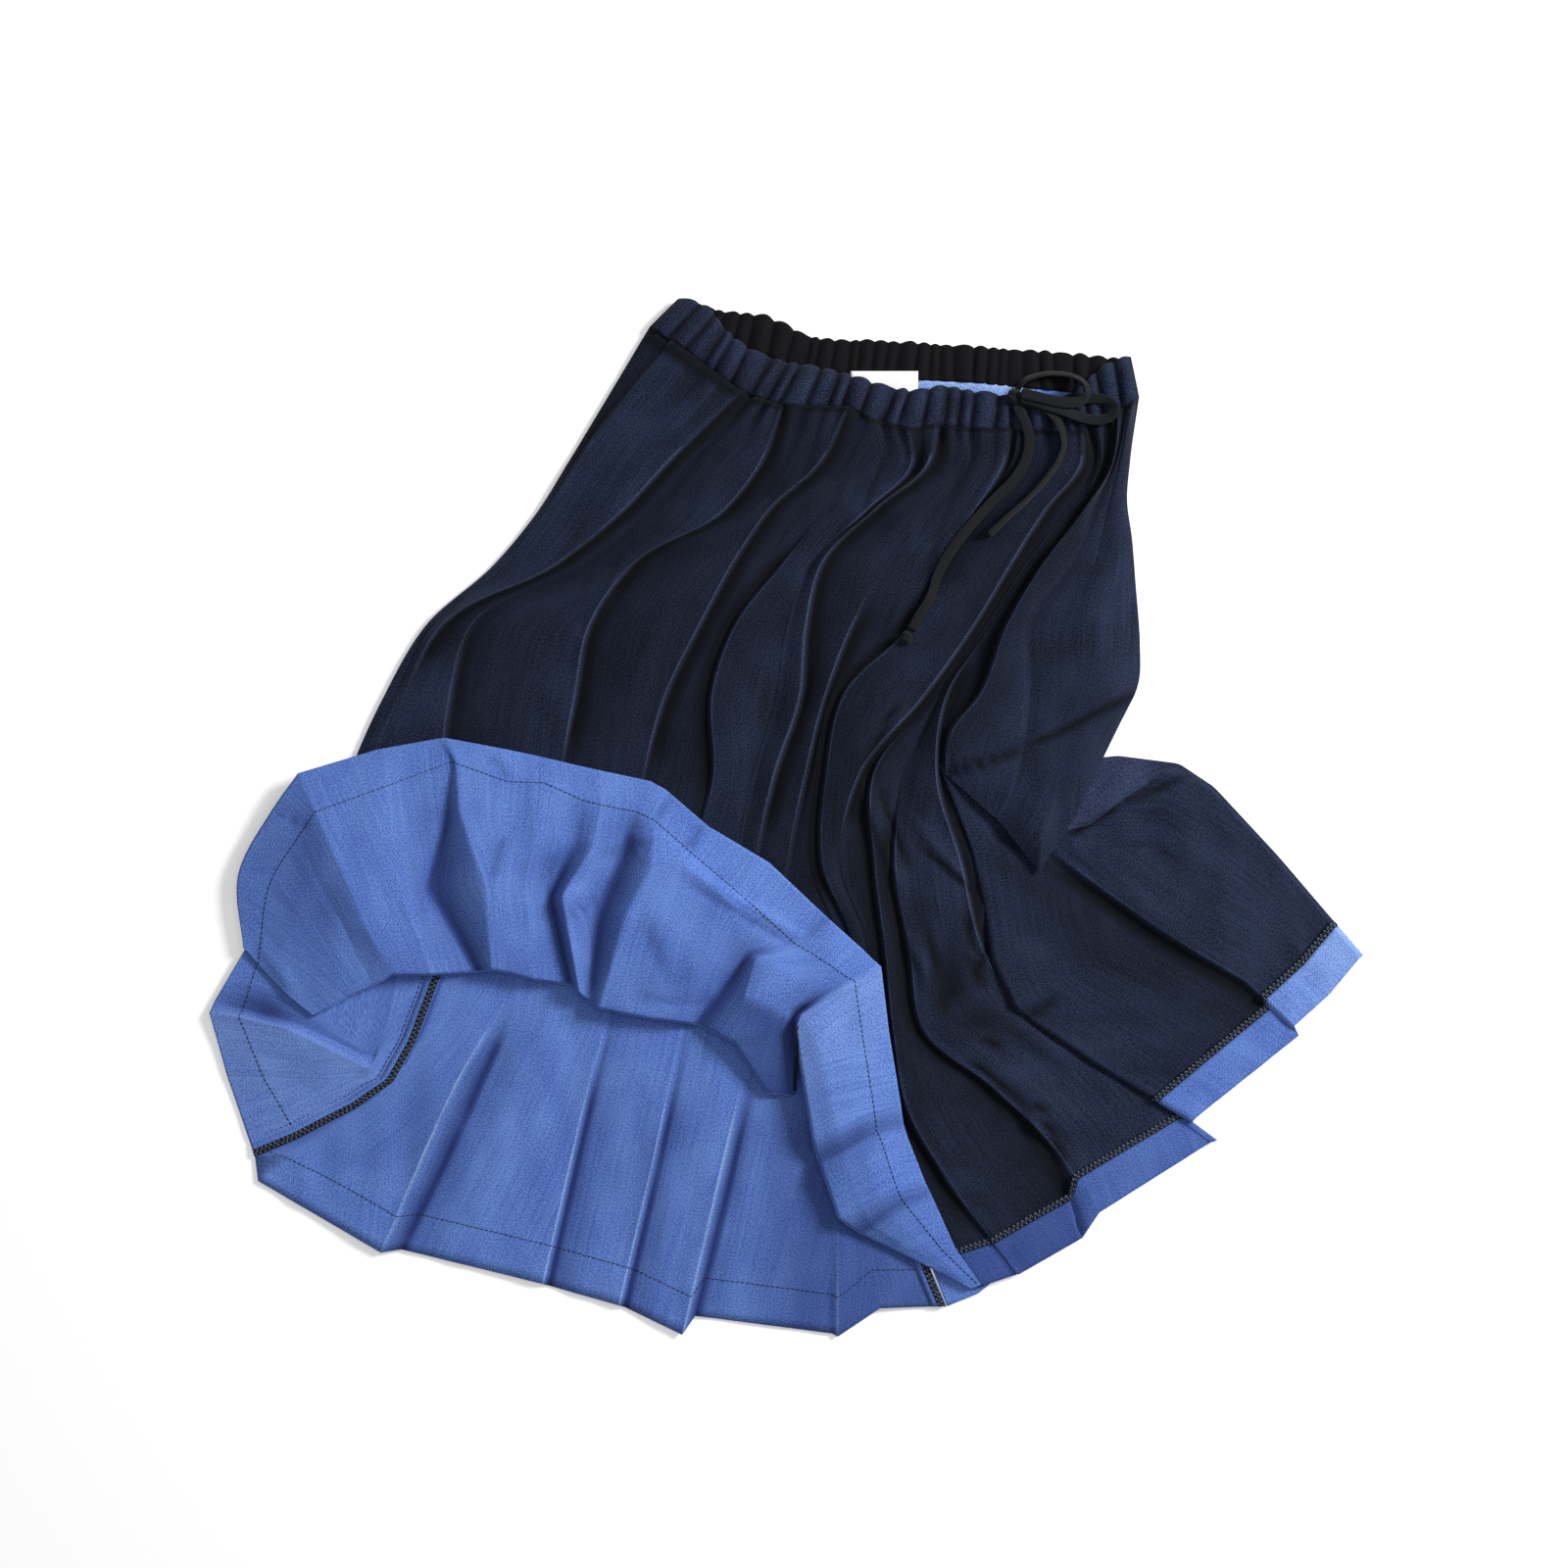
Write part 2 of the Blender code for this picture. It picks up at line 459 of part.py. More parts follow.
def seam_allowance(name, seam, panel, distances):
    """A pressed and overlocked allowance along a seam, lying on the panel beside it."""
    far = np.linalg.norm(panel[:, :2] - seam[:, :2], axis=1, keepdims=True)
    columns = [seam + (panel - seam) * distance / far for distance in distances]
    lying_on(name, np.stack(columns, axis=1), NAVY, ALLOWANCE_THICK)


BAND_TOP = (
    (693, 303), (722, 313), (741, 336), (757, 351), (800, 368), (857, 379), (892, 390), (937, 398),
    (962, 393), (994, 399), (1020, 402), (1062, 408), (1100, 396), (1122, 376), (1154, 362),
)
BACK_TOP = (
    (706, 307), (739, 316), (785, 323), (801, 330), (825, 341), (894, 346), (973, 351), (1060, 357),
    (1122, 363), (1146, 366),
)
Gathers = namedtuple("Gathers", "count rise depth floor")  # heights in mm
FRONT_GATHERS = Gathers(28, 4.0, 1.3, 6.4)
BACK_GATHERS = Gathers(30, 1.8, 0.5, 0.0)
CELLS_A_GATHER = 3
BAND_ROWS = 4
BAND_SEAM_GAP = 1.4  # grid steps between a band's foot and its panel
GATHER_EDGE = 1.6  # grid steps that a gather stands past the band's edge
HEM_THICK = 1.0  # mm
HEM_CLEAR = 0.6  # mm
ALLOWANCE = (0.8, 6.5, 13.0)  # grid steps from the seam
ALLOWANCE_THICK = 1.2  # mm
SEAM_SHOWS = 10  # the row of the back from which its right seam is uncovered
FACING_THICK = 0.9  # mm
LABEL_LEFT, LABEL_RIGHT = 868, 937
LABEL_TOP, LABEL_FOOT = 378, 404
LABEL_HEIGHT, LABEL_THICK = 4.4, 0.6  # mm


def even_along(polyline, count):
    """Points spread evenly along a polyline."""
    run = np.concatenate([[0], np.cumsum(np.linalg.norm(np.diff(polyline, axis=0), axis=1))])
    along = np.linspace(0, run[-1], count)
    return np.stack([np.interp(along, run, polyline[:, k]) for k in range(2)], axis=-1)


def gathered(top, panel_edge, gathers):
    """The upper grid of a gathered band between its top edge and the edge of the panel it is sewn to.

    Along the band the gathers follow a cosine whose spacing and size drift; across it the band is a
    low arch.
    """
    count = gathers.count * CELLS_A_GATHER + 1
    along = np.linspace(0, 1, count)
    top_edge = even_along(curve_through(top, 8), count)
    foot_edge = even_along(panel_edge - (0, BAND_SEAM_GAP), count)
    drift = 0.35 * np.sin(5.3 * along * np.pi) + 0.25 * np.sin(11.9 * along * np.pi)
    size = 0.75 + 0.25 * np.sin(7.7 * along * np.pi)
    wave = np.cos(2 * np.pi * gathers.count * along + 2 * drift) * size
    up = (top_edge - foot_edge) / np.linalg.norm(top_edge - foot_edge, axis=1, keepdims=True)
    rows = []
    for share in np.linspace(0, 1, BAND_ROWS):
        edge = wave * GATHER_EDGE * (1 - share) ** 2
        plan = top_edge * (1 - share) + foot_edge * share + up * edge[:, None]
        arch = np.sin(np.pi * (0.12 + 0.76 * share)) ** 0.6
        depth = gathers.depth * (0.3 + 0.7 * np.sin(np.pi * share))
        height = gathers.floor + gathers.rise * arch + wave * depth
        rows.append(np.concatenate([plan, height[:, None]], axis=1))
    return np.stack(rows)


def band(name, grid, floor, material):
    """A gathered band as one closed body from its upper grid down to its floor."""
    lower = grid.copy()
    lower[..., 2] = floor
    return closed_wall(name, metres(grid), metres(lower), material)


def label(name):
    """A blank woven label that hangs from the facing's foot on to the back's inside."""
    corners = np.array([[(LABEL_LEFT, LABEL_TOP), (LABEL_RIGHT, LABEL_TOP)],
                        [(LABEL_LEFT, LABEL_FOOT), (LABEL_RIGHT, LABEL_FOOT)]], float)
    lower = metres(np.concatenate([corners, np.full((2, 2, 1), LABEL_HEIGHT)], axis=2))
    upper = lower + (0, 0, LABEL_THICK * MM)
    return closed_wall(name, upper, lower, WHITE)


TAPE_CELLS = 2
REACH = 4.6  # mm either side of the tape's middle that it must clear
TAPE_CLEAR = 0.6  # mm
TapeRun = namedtuple("TapeRun", "name route")
TAPE_RUNS = (
    TapeRun("drawstring_tail_long", (
        (1040, 422), (1048, 432), (1052, 448), (1048, 468), (1036, 488), (1016, 508), (996, 530),
        (972, 560), (957, 586), (950, 608), (936, 632), (930, 643))),
    TapeRun("drawstring_tail_short", (
        (1049, 412), (1062, 414), (1073, 423), (1081, 438), (1085, 454), (1080, 470), (1068, 488),
        (1050, 508), (1030, 526), (1008, 547))),
    TapeRun("drawstring_loop_lower", (
        (1051, 410), (1066, 415), (1085, 421), (1105, 427), (1122, 429), (1134, 424), (1137, 416),
        (1130, 410), (1117, 408), (1093, 410))),
    TapeRun("drawstring_loop_upper", (
        (1045, 393), (1060, 386), (1084, 383), (1100, 386), (1109, 393), (1111, 402), (1104, 409),
        (1090, 412), (1070, 409), (1051, 404))),
)
Knot = namedtuple("Knot", "name x y wide long high")  # places in grid steps, sizes in mm
KNOTS = (
    Knot("drawstring_bow_knot", 1034, 408, 14, 14, 8),
    Knot("drawstring_tip_knot", 925, 651, 9, 9, 6),
)


def tree_of(piece):
    """A search tree of a piece's faces, to find what lies under a place."""
    bpy.context.view_layer.update()
    return BVHTree.FromObject(piece, bpy.context.evaluated_depsgraph_get())


def top_of(trees, x, y):
    """The highest cloth at a place in metres, or nothing."""
    hits = [tree.ray_cast((x, y, 1.0), (0, 0, -1))[0] for tree in trees]
    return max((hit.z for hit in hits if hit is not None), default=0.0)


def top_near(trees, x, y, reach):
    """The highest cloth within reach of a place, all in metres."""
    turns = np.linspace(0, 2 * np.pi, 8, endpoint=False)
    places = [(x, y), *((x + reach * np.cos(turn), y + reach * np.sin(turn)) for turn in turns)]
    return max(top_of(trees, *place) for place in places)


def drawstring(run, trees):
    """A run of flat tape that follows its route over the cloth: a bevelled curve with filled caps."""
    route = np.array([(*place, 0) for place in run.route], float)
    points = metres(curve_through(route, TAPE_CELLS))
    heights = np.array([top_near(trees, x, y, REACH * MM) for x, y, _ in points])
    held = np.array([heights[max(k - 1, 0) : k + 2].max() for k in range(len(heights))])
    points[:, 2] = held + (TAPE_CLEAR + TAPE_THICK / 2) * MM
    curve = bpy.data.curves.new(run.name, "CURVE")
    curve.dimensions = "3D"
    curve.twist_mode = "Z_UP"
    curve.bevel_depth = TAPE_THICK / 2 * MM
    curve.extrude = (TAPE_WIDTH - TAPE_THICK) / 2 * MM
    curve.bevel_resolution = 2
    curve.use_fill_caps = True
    spline = curve.splines.new("POLY")
    spline.points.add(len(points) - 1)
    for point, place in zip(spline.points, points):
        point.co = (*place, 1.0)
        point.tilt = np.pi / 2
    curve.materials.append(BLACK)
    obj = bpy.data.objects.new(run.name, curve)
    bpy.context.scene.collection.objects.link(obj)
    return obj


def knot(entry, trees):
    """A pulled-tight knot: a rounded lump that rests on the cloth."""
    x, y, _ = metres(np.array([entry.x, entry.y, 0.0]))
    floor = top_near(trees, x, y, entry.wide / 3 * MM)
    bpy.ops.mesh.primitive_uv_sphere_add(segments=14, ring_count=8, radius=0.5)
    obj = bpy.context.object
    obj.name = entry.name
    size = Matrix.Diagonal((entry.wide * MM, entry.long * MM, entry.high * MM, 1.0))
    place = Matrix.Translation((x, y, floor + (GAP + entry.high / 2) * MM))
    obj.data.transform(place @ size)
    obj.data.materials.append(BLACK)
    obj.data.shade_smooth()
    return obj


front, front_cells, column_of = dark_front()
front_panel = hung_wall("front_panel", front, NAVY, FRONT_LOWEST, front_cells)
hem_turn_up("hem_turn_up_3", front, column_of["corner_pleat right"], column_of["twist_pleat left"])
hem_turn_up("hem_turn_up_4", front, column_of["pocket_pleat right"], column_of["corner_pleat left"])

right = pleated(RIGHT_PLEATS, RIGHT_CELLS)
hung_wall("front_panel_right_pleats", right, NAVY, RIGHT_LOWEST)
hem_turn_up("hem_turn_up_1", right, right_column("lower_pleat"), right_column("turned_ridge"))
hem_turn_up("hem_turn_up_2", right, right_column("under_twist"), right_column("lower_pleat_foot"))

thrown = pleated(turned_under(THROWN_UP))
offset_wall("front_panel_turned_back", thrown, BLUE)

corner = pleated(LEFT_CORNER)
resting("front_panel_left_corner", corner, BLUE)
seam_allowance("seam_allowance_left", corner[:, 0], corner[:, 1], ALLOWANCE)

back = pleated(BACK_PLEATS)
back[-len(BESIDE_SEAM) :, 0, :2] = BESIDE_SEAM
resting("back_panel", back, BLUE)
seam_allowance("seam_allowance_right", back[SEAM_SHOWS:, -1], back[SEAM_SHOWS:, -2], ALLOWANCE[::-1])

wrapped = pleated(WRAPPED_UNDER)
resting("front_panel_wrapped_under", wrapped, BLUE)

front_band = gathered(BAND_TOP, front[0, :, :2], FRONT_GATHERS)
waistband_front = band("waistband_front", front_band, FRONT_GATHERS.floor, NAVY)
back_edge = np.concatenate([back[0, :, :2], wrapped[0, :, :2]])
back_band = gathered(BACK_TOP, back_edge, BACK_GATHERS)
band("waistband_back", back_band, BACK_GATHERS.floor, NAVY)
waistband_facing = lying_on("waistband_facing", back_band, BLACK, FACING_THICK)
label("label")

cloth_trees = [tree_of(piece) for piece in (front_panel, waistband_front, waistband_facing)]
for entry in KNOTS:
    knot(entry, cloth_trees)
for run in TAPE_RUNS:
    cloth_trees.append(tree_of(drawstring(run, cloth_trees)))
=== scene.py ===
"""A pleated midi skirt of double-faced cotton twill, laid flat with part of its front hem thrown up."""

from collections import namedtuple

import bpy
import numpy as np
from mathutils.bvhtree import BVHTree
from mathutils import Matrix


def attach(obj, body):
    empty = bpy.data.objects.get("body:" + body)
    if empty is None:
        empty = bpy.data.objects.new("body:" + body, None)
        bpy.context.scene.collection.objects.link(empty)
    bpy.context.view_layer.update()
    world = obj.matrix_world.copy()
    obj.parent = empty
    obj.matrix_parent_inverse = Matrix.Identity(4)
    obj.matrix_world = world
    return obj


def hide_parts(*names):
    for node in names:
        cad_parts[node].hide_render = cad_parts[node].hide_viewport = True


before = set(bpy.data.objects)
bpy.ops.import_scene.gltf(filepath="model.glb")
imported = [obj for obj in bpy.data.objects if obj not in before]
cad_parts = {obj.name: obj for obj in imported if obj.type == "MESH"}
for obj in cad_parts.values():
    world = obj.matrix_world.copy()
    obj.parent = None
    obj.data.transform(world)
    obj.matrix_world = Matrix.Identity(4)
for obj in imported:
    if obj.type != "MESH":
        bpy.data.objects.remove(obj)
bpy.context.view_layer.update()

# The surface, the light and the camera.
# The skirt lies on a pale board under a large soft window light from the upper right, with a weak
# overall light, and is looked at from straight above.

GRID = 0.00075  # metres in one step of the layout, which places are counted in
CENTRE_X, CENTRE_Y = 802.5, 833.5  # the layout's steps under the origin
MM = 0.001
VIEW_STEPS = 1600  # layout steps that the camera sees each way
VIEW_X, VIEW_Y = 800, 800  # the step in the middle of the view
CAMERA_HEIGHT = 3.2


def linear(hex_colour):
    """An sRGB hex colour as linear red, green, blue and alpha."""
    srgb = np.array([int(hex_colour[k : k + 2], 16) for k in (1, 3, 5)]) / 255
    rgb = np.where(srgb <= 0.04045, srgb / 12.92, ((srgb + 0.055) / 1.055) ** 2.4)
    return (*rgb.tolist(), 1.0)


def add_node(tree, kind, inputs=None, links=None, **settings):
    """A node with its settings, its socket values, and links given as socket: (node, output)."""
    node = tree.nodes.new(kind)
    for name, value in settings.items():
        setattr(node, name, value)
    for name, value in (inputs or {}).items():
        node.inputs[name].default_value = value
    for name, (other, output) in (links or {}).items():
        tree.links.new(other.outputs[output], node.inputs[name])
    return node


def new_material(name, roughness, sheen=0.0):
    """A Principled material, its node tree and its shader."""
    material = bpy.data.materials.new(name)
    material.use_nodes = True
    shader = material.node_tree.nodes["Principled BSDF"]
    shader.inputs["Roughness"].default_value = roughness
    shader.inputs["Sheen Weight"].default_value = sheen
    shader.inputs["Sheen Roughness"].default_value = 0.5
    shader.inputs["Specular IOR Level"].default_value = 0.12
    return material, material.node_tree, shader


def painted_board():
    """Matt white paint: even and pale."""
    material, _, shader = new_material("matt_white_board", 0.9)
    shader.inputs["Base Color"].default_value = linear("#fafafa")
    shader.inputs["Emission Color"].default_value = linear("#ffffff")
    shader.inputs["Emission Strength"].default_value = 0.3
    return material


bpy.ops.mesh.primitive_plane_add(size=8)
board = bpy.context.object
board.name = "board"
board.data.materials.append(painted_board())


def window(name, place, aim, size, power):
    """A square soft light that faces a point."""
    light = bpy.data.lights.new(name, "AREA")
    light.size = size
    light.energy = power
    holder = bpy.data.objects.new(name, light)
    holder.location = place
    way = np.array(aim, float) - np.array(place, float)
    turn = np.arctan2(-way[0], way[1])
    tilt = np.arctan2(np.hypot(way[0], way[1]), -way[2])
    holder.rotation_euler = (tilt, 0, turn)
    bpy.context.scene.collection.objects.link(holder)


window("key", (2.3, 1.2, 1.75), (0.0, 0.0, 0.0), 0.9, 105)
window("overhead", (0.0, 0.3, 2.8), (0.0, 0.0, 0.0), 2.6, 17)
world = bpy.context.scene.world or bpy.data.worlds.new("world")
bpy.context.scene.world = world
world.use_nodes = True
world.node_tree.nodes["Background"].inputs["Color"].default_value = (1, 1, 1, 1)
world.node_tree.nodes["Background"].inputs["Strength"].default_value = 0.22
bpy.context.scene.view_settings.view_transform = "Standard"

lens = bpy.data.cameras.new("camera")
lens.sensor_width = 36
lens.lens = lens.sensor_width * CAMERA_HEIGHT / (VIEW_STEPS * GRID)
camera = bpy.data.objects.new("camera", lens)
camera.location = ((VIEW_X - CENTRE_X) * GRID, (CENTRE_Y - VIEW_Y) * GRID, CAMERA_HEIGHT + 0.01)
bpy.context.scene.collection.objects.link(camera)
bpy.context.scene.camera = camera

# The front panel.
# Navy outside and cornflower blue inside, woven in one cloth of double-faced cotton twill, with
# pressed knife pleats that are sewn into the waistband and fall open towards the hem.

CLOTH = 1.2  # mm
STRIPE = 0.005  # metres, one stripe of the herringbone
TWILL = 0.0028  # metres between two ribs, drawn twice as coarse as the real ones so that they show
SPECKLE = 0.0014  # metres, drawn twice as coarse as the yarns that cross
STREAK = 0.0020  # metres, the width of one slub yarn's streak
MOTTLE = 0.045  # metres
MIX_A, MIX_B, MIX_COLOUR = 6, 7, 2  # the colour sockets of a mix node
FACE_SHIFT = 0.037  # metres that the map moves on from one pressed face to the next


def weighted_sum(tree, start, terms):
    """A number plus each pattern times its weight, one after another."""
    total = None
    for pattern, weight in terms:
        links = {0: (pattern, 0)}
        if total is not None:
            links[2] = (total, 0)
        total = add_node(tree, "ShaderNodeMath", {1: weight, 2: start}, links, operation="MULTIPLY_ADD")
    return total


def double_faced_twill(name, deep, shade, lit, worn_and_lit):
    """Brushed cotton twill: matt, ribbed in herringbone stripes along the cloth, speckled where dark and
    pale yarns cross, and mottled by handling. It is paler along rubbed crests and where painted light
    brightens it, and painted shade darkens it in the folds."""
    material, tree, shader = new_material(name, 0.85, 0.06)
    cloth = add_node(tree, "ShaderNodeUVMap", uv_map="cloth")
    part = add_node(tree, "ShaderNodeSeparateXYZ", links={0: (cloth, 0)})
    zigzag = add_node(tree, "ShaderNodeMath", {1: STRIPE}, {0: (part, 0)}, operation="PINGPONG")
    climb = add_node(tree, "ShaderNodeMath", None, {0: (zigzag, 0), 1: (part, 1)}, operation="ADD")
    turns = add_node(tree, "ShaderNodeMath", {1: 2 * np.pi / TWILL}, {0: (climb, 0)}, operation="MULTIPLY")
    rib = add_node(tree, "ShaderNodeMath", None, {0: (turns, 0)}, operation="SINE")
    stretched = add_node(tree, "ShaderNodeVectorMath", {1: (1 / STREAK, 1 / (36 * STREAK), 1)},
                         {0: (cloth, 0)}, operation="MULTIPLY")
    slub = add_node(tree, "ShaderNodeTexNoise", {"Scale": 1.0, "Detail": 2.0}, {"Vector": (stretched, 0)})
    speckle = add_node(tree, "ShaderNodeTexNoise", {"Scale": 1 / SPECKLE, "Detail": 1.0},
                       {"Vector": (cloth, 0)})
    broad = add_node(tree, "ShaderNodeTexNoise", {"Scale": 1 / MOTTLE, "Detail": 3.0},
                     {"Vector": (cloth, 0)})
    woven = weighted_sum(tree, -1.55, ((rib, 0.15), (speckle, 2.2), (slub, 0.9)))
    tone = add_node(tree, "ShaderNodeMath", {1: 1.0}, {0: (broad, 0), 2: (woven, 0)},
                    operation="MULTIPLY_ADD", use_clamp=True)
    dyed = add_node(tree, "ShaderNodeMix", {MIX_A: linear(shade), MIX_B: linear(lit)}, {0: (tone, 0)},
                    data_type="RGBA")
    # Painted shade, mixed in by an attribute at each point.
    hidden = add_node(tree, "ShaderNodeAttribute", attribute_name="deep")
    sunk = add_node(tree, "ShaderNodeMix", {MIX_B: linear(deep)},
                    {0: (hidden, "Fac"), MIX_A: (dyed, MIX_COLOUR)}, data_type="RGBA")
    # Paler cloth, mixed in by an attribute at each point: rubbed crests, and painted light.
    wear = add_node(tree, "ShaderNodeAttribute", attribute_name="wear")
    narrow = add_node(tree, "ShaderNodeMath", {1: 2.2}, {0: (wear, "Fac")}, operation="POWER")
    grainy = add_node(tree, "ShaderNodeMath", {1: 1.0, 2: 0.35}, {0: (tone, 0)}, operation="MULTIPLY_ADD")
    worn_and_lit_share = add_node(tree, "ShaderNodeMath", None, {0: (narrow, 0), 1: (grainy, 0)}, operation="MULTIPLY",
                    use_clamp=True)
    worn_and_lit_cloth = add_node(tree, "ShaderNodeMix", {MIX_B: linear(worn_and_lit)},
                     {0: (worn_and_lit_share, 0), MIX_A: (sunk, MIX_COLOUR)}, data_type="RGBA")
    tree.links.new(worn_and_lit_cloth.outputs[MIX_COLOUR], shader.inputs["Base Color"])
    bump = add_node(tree, "ShaderNodeBump", {"Strength": 0.4, "Distance": 0.0005}, {"Height": (woven, 0)})
    tree.links.new(bump.outputs[0], shader.inputs["Normal"])
    return material


# Colours: painted shade, dark and pale yarns, and the paler cloth of rubbed crests and painted light.
NAVY = double_faced_twill("navy_cotton_twill", "#04060a", "#0a0e19", "#2b3551", "#56648f")
BLUE = double_faced_twill("cornflower_cotton_twill", "#1f2c66", "#4562b2", "#7093dc", "#9dbbec")


def metres(grid):
    """Layout points (x, y in steps, z in millimetres) as metres about the skirt's middle."""
    x = (grid[..., 0] - CENTRE_X) * GRID
    y = (CENTRE_Y - grid[..., 1]) * GRID
    return np.stack([x, y, grid[..., 2] * MM], axis=-1)


def smooth_at(stations, where):
    """Points of a Hermite curve through the stations, at places counted in stations. Its slope at a station
    leans towards the nearer neighbour."""
    steps = np.diff(stations, axis=0)
    lengths = np.maximum(np.linalg.norm(steps, axis=1), 1e-6)[:, None]
    slopes = steps / lengths
    middle = (slopes[:-1] * lengths[1:] + slopes[1:] * lengths[:-1]) / (lengths[1:] + lengths[:-1])
    slope = np.concatenate([slopes[:1], middle, slopes[-1:]])
    k = np.clip(where.astype(int), 0, len(steps) - 1)
    t = (where - k)[:, None]
    start = (1 + 2 * t) * (1 - t) ** 2 * stations[k] + t * (1 - t) ** 2 * lengths[k] * slope[k]
    end = t**2 * (3 - 2 * t) * stations[k + 1] - t**2 * (1 - t) * lengths[k] * slope[k + 1]
    return start + end


def curve_through(stations, cells):
    """A smooth curve through the stations, with so many steps from each to the next."""
    stations = np.asarray(stations, float)
    return smooth_at(stations, np.arange((len(stations) - 1) * cells + 1) / cells)


def shares(cells):
    """Shares from 0 towards 1, closer together at both ends, where a crease needs them."""
    even = np.arange(cells) / cells
    return 0.15 * even + 0.85 * (0.5 - 0.5 * np.cos(np.pi * even))


def across(columns, cells, swell):
    """A grid between columns of points: from column to column each face is straight and swells by
    4 t (1 - t) times so many millimetres."""
    parts = []
    for left, right, count in zip(columns[:-1], columns[1:], cells):
        for t in shares(count):
            row = left * (1 - t) + right * t
            row[:, 2] += 4 * t * (1 - t) * swell
            parts.append(row)
    return np.stack([*parts, columns[-1]], axis=1)


def running(points, axis):
    """The distance run along a grid's rows or columns, from its start."""
    steps = np.linalg.norm(np.diff(points, axis=axis), axis=-1)
    first = np.zeros_like(np.take(steps, [0], axis=axis))
    return np.concatenate([first, np.cumsum(steps, axis=axis)], axis=axis)


def ripples(grid, size, depth, lean, seed):
    """Soft uneven ripples: a sum of seven sines, their directions spread about lean and their lengths
    about size."""
    chance = np.random.default_rng(seed)
    total = np.zeros(grid.shape[:-1])
    for _ in range(7):
        angle = lean + chance.normal(0, 0.3)
        length = size * chance.uniform(0.6, 1.8)
        total += np.sin(2 * np.pi * (grid[..., 0] * np.cos(angle) + grid[..., 1] * np.sin(angle)) / length
                        + chance.uniform(0, 2 * np.pi))
    return depth * total / np.sqrt(7)


Crease = namedtuple("Crease", "x0 y0 x1 y1 width height")  # steps, and mm: below 0 for a trough
DARKEST_TROUGH = 2.4  # mm, the trough depth at which its painted shade is full


def creased(grid, creases, marks, dark=1.0):
    """The grid with soft ridges and troughs: each is exp(-(distance / width)^2) across a line, fading
    towards the line's ends. A trough sinks half as far as a ridge rises, and also adds painted shade to the
    marks."""
    out = grid.copy()
    for row in creases:
        start = np.array([row.x0, row.y0], float)
        way = np.array([row.x1, row.y1], float) - start
        length = np.hypot(*way)
        along = ((grid[..., :2] - start) @ way) / length**2
        sideways = ((grid[..., 0] - row.x0) * way[1] - (grid[..., 1] - row.y0) * way[0]) / length
        taper = np.clip(1 - np.maximum(np.abs(along - 0.5) - 0.25, 0) / 0.3, 0, 1)
        line = taper * taper * (3 - 2 * taper) * np.exp(-((sideways / row.width) ** 2))
        out[..., 2] += max(row.height, row.height / 2) * line
        if row.height < 0:
            marks["deep"] = np.maximum(marks["deep"], line * min(1.0, -row.height / DARKEST_TROUGH) * dark)
    return out


def normals_of(points):
    """Unit normals of a grid, from the cross product of its differences."""
    normal = np.cross(np.gradient(points, axis=0), np.gradient(points, axis=1))
    return normal / np.maximum(np.linalg.norm(normal, axis=-1, keepdims=True), 1e-12)


def placed(name, mesh):
    """A mesh as a smooth-shaded object that lies where the part lies."""
    mesh.shade_smooth()
    piece = bpy.data.objects.new(name, mesh)
    bpy.context.scene.collection.objects.link(piece)
    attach(piece, "root")
    return piece


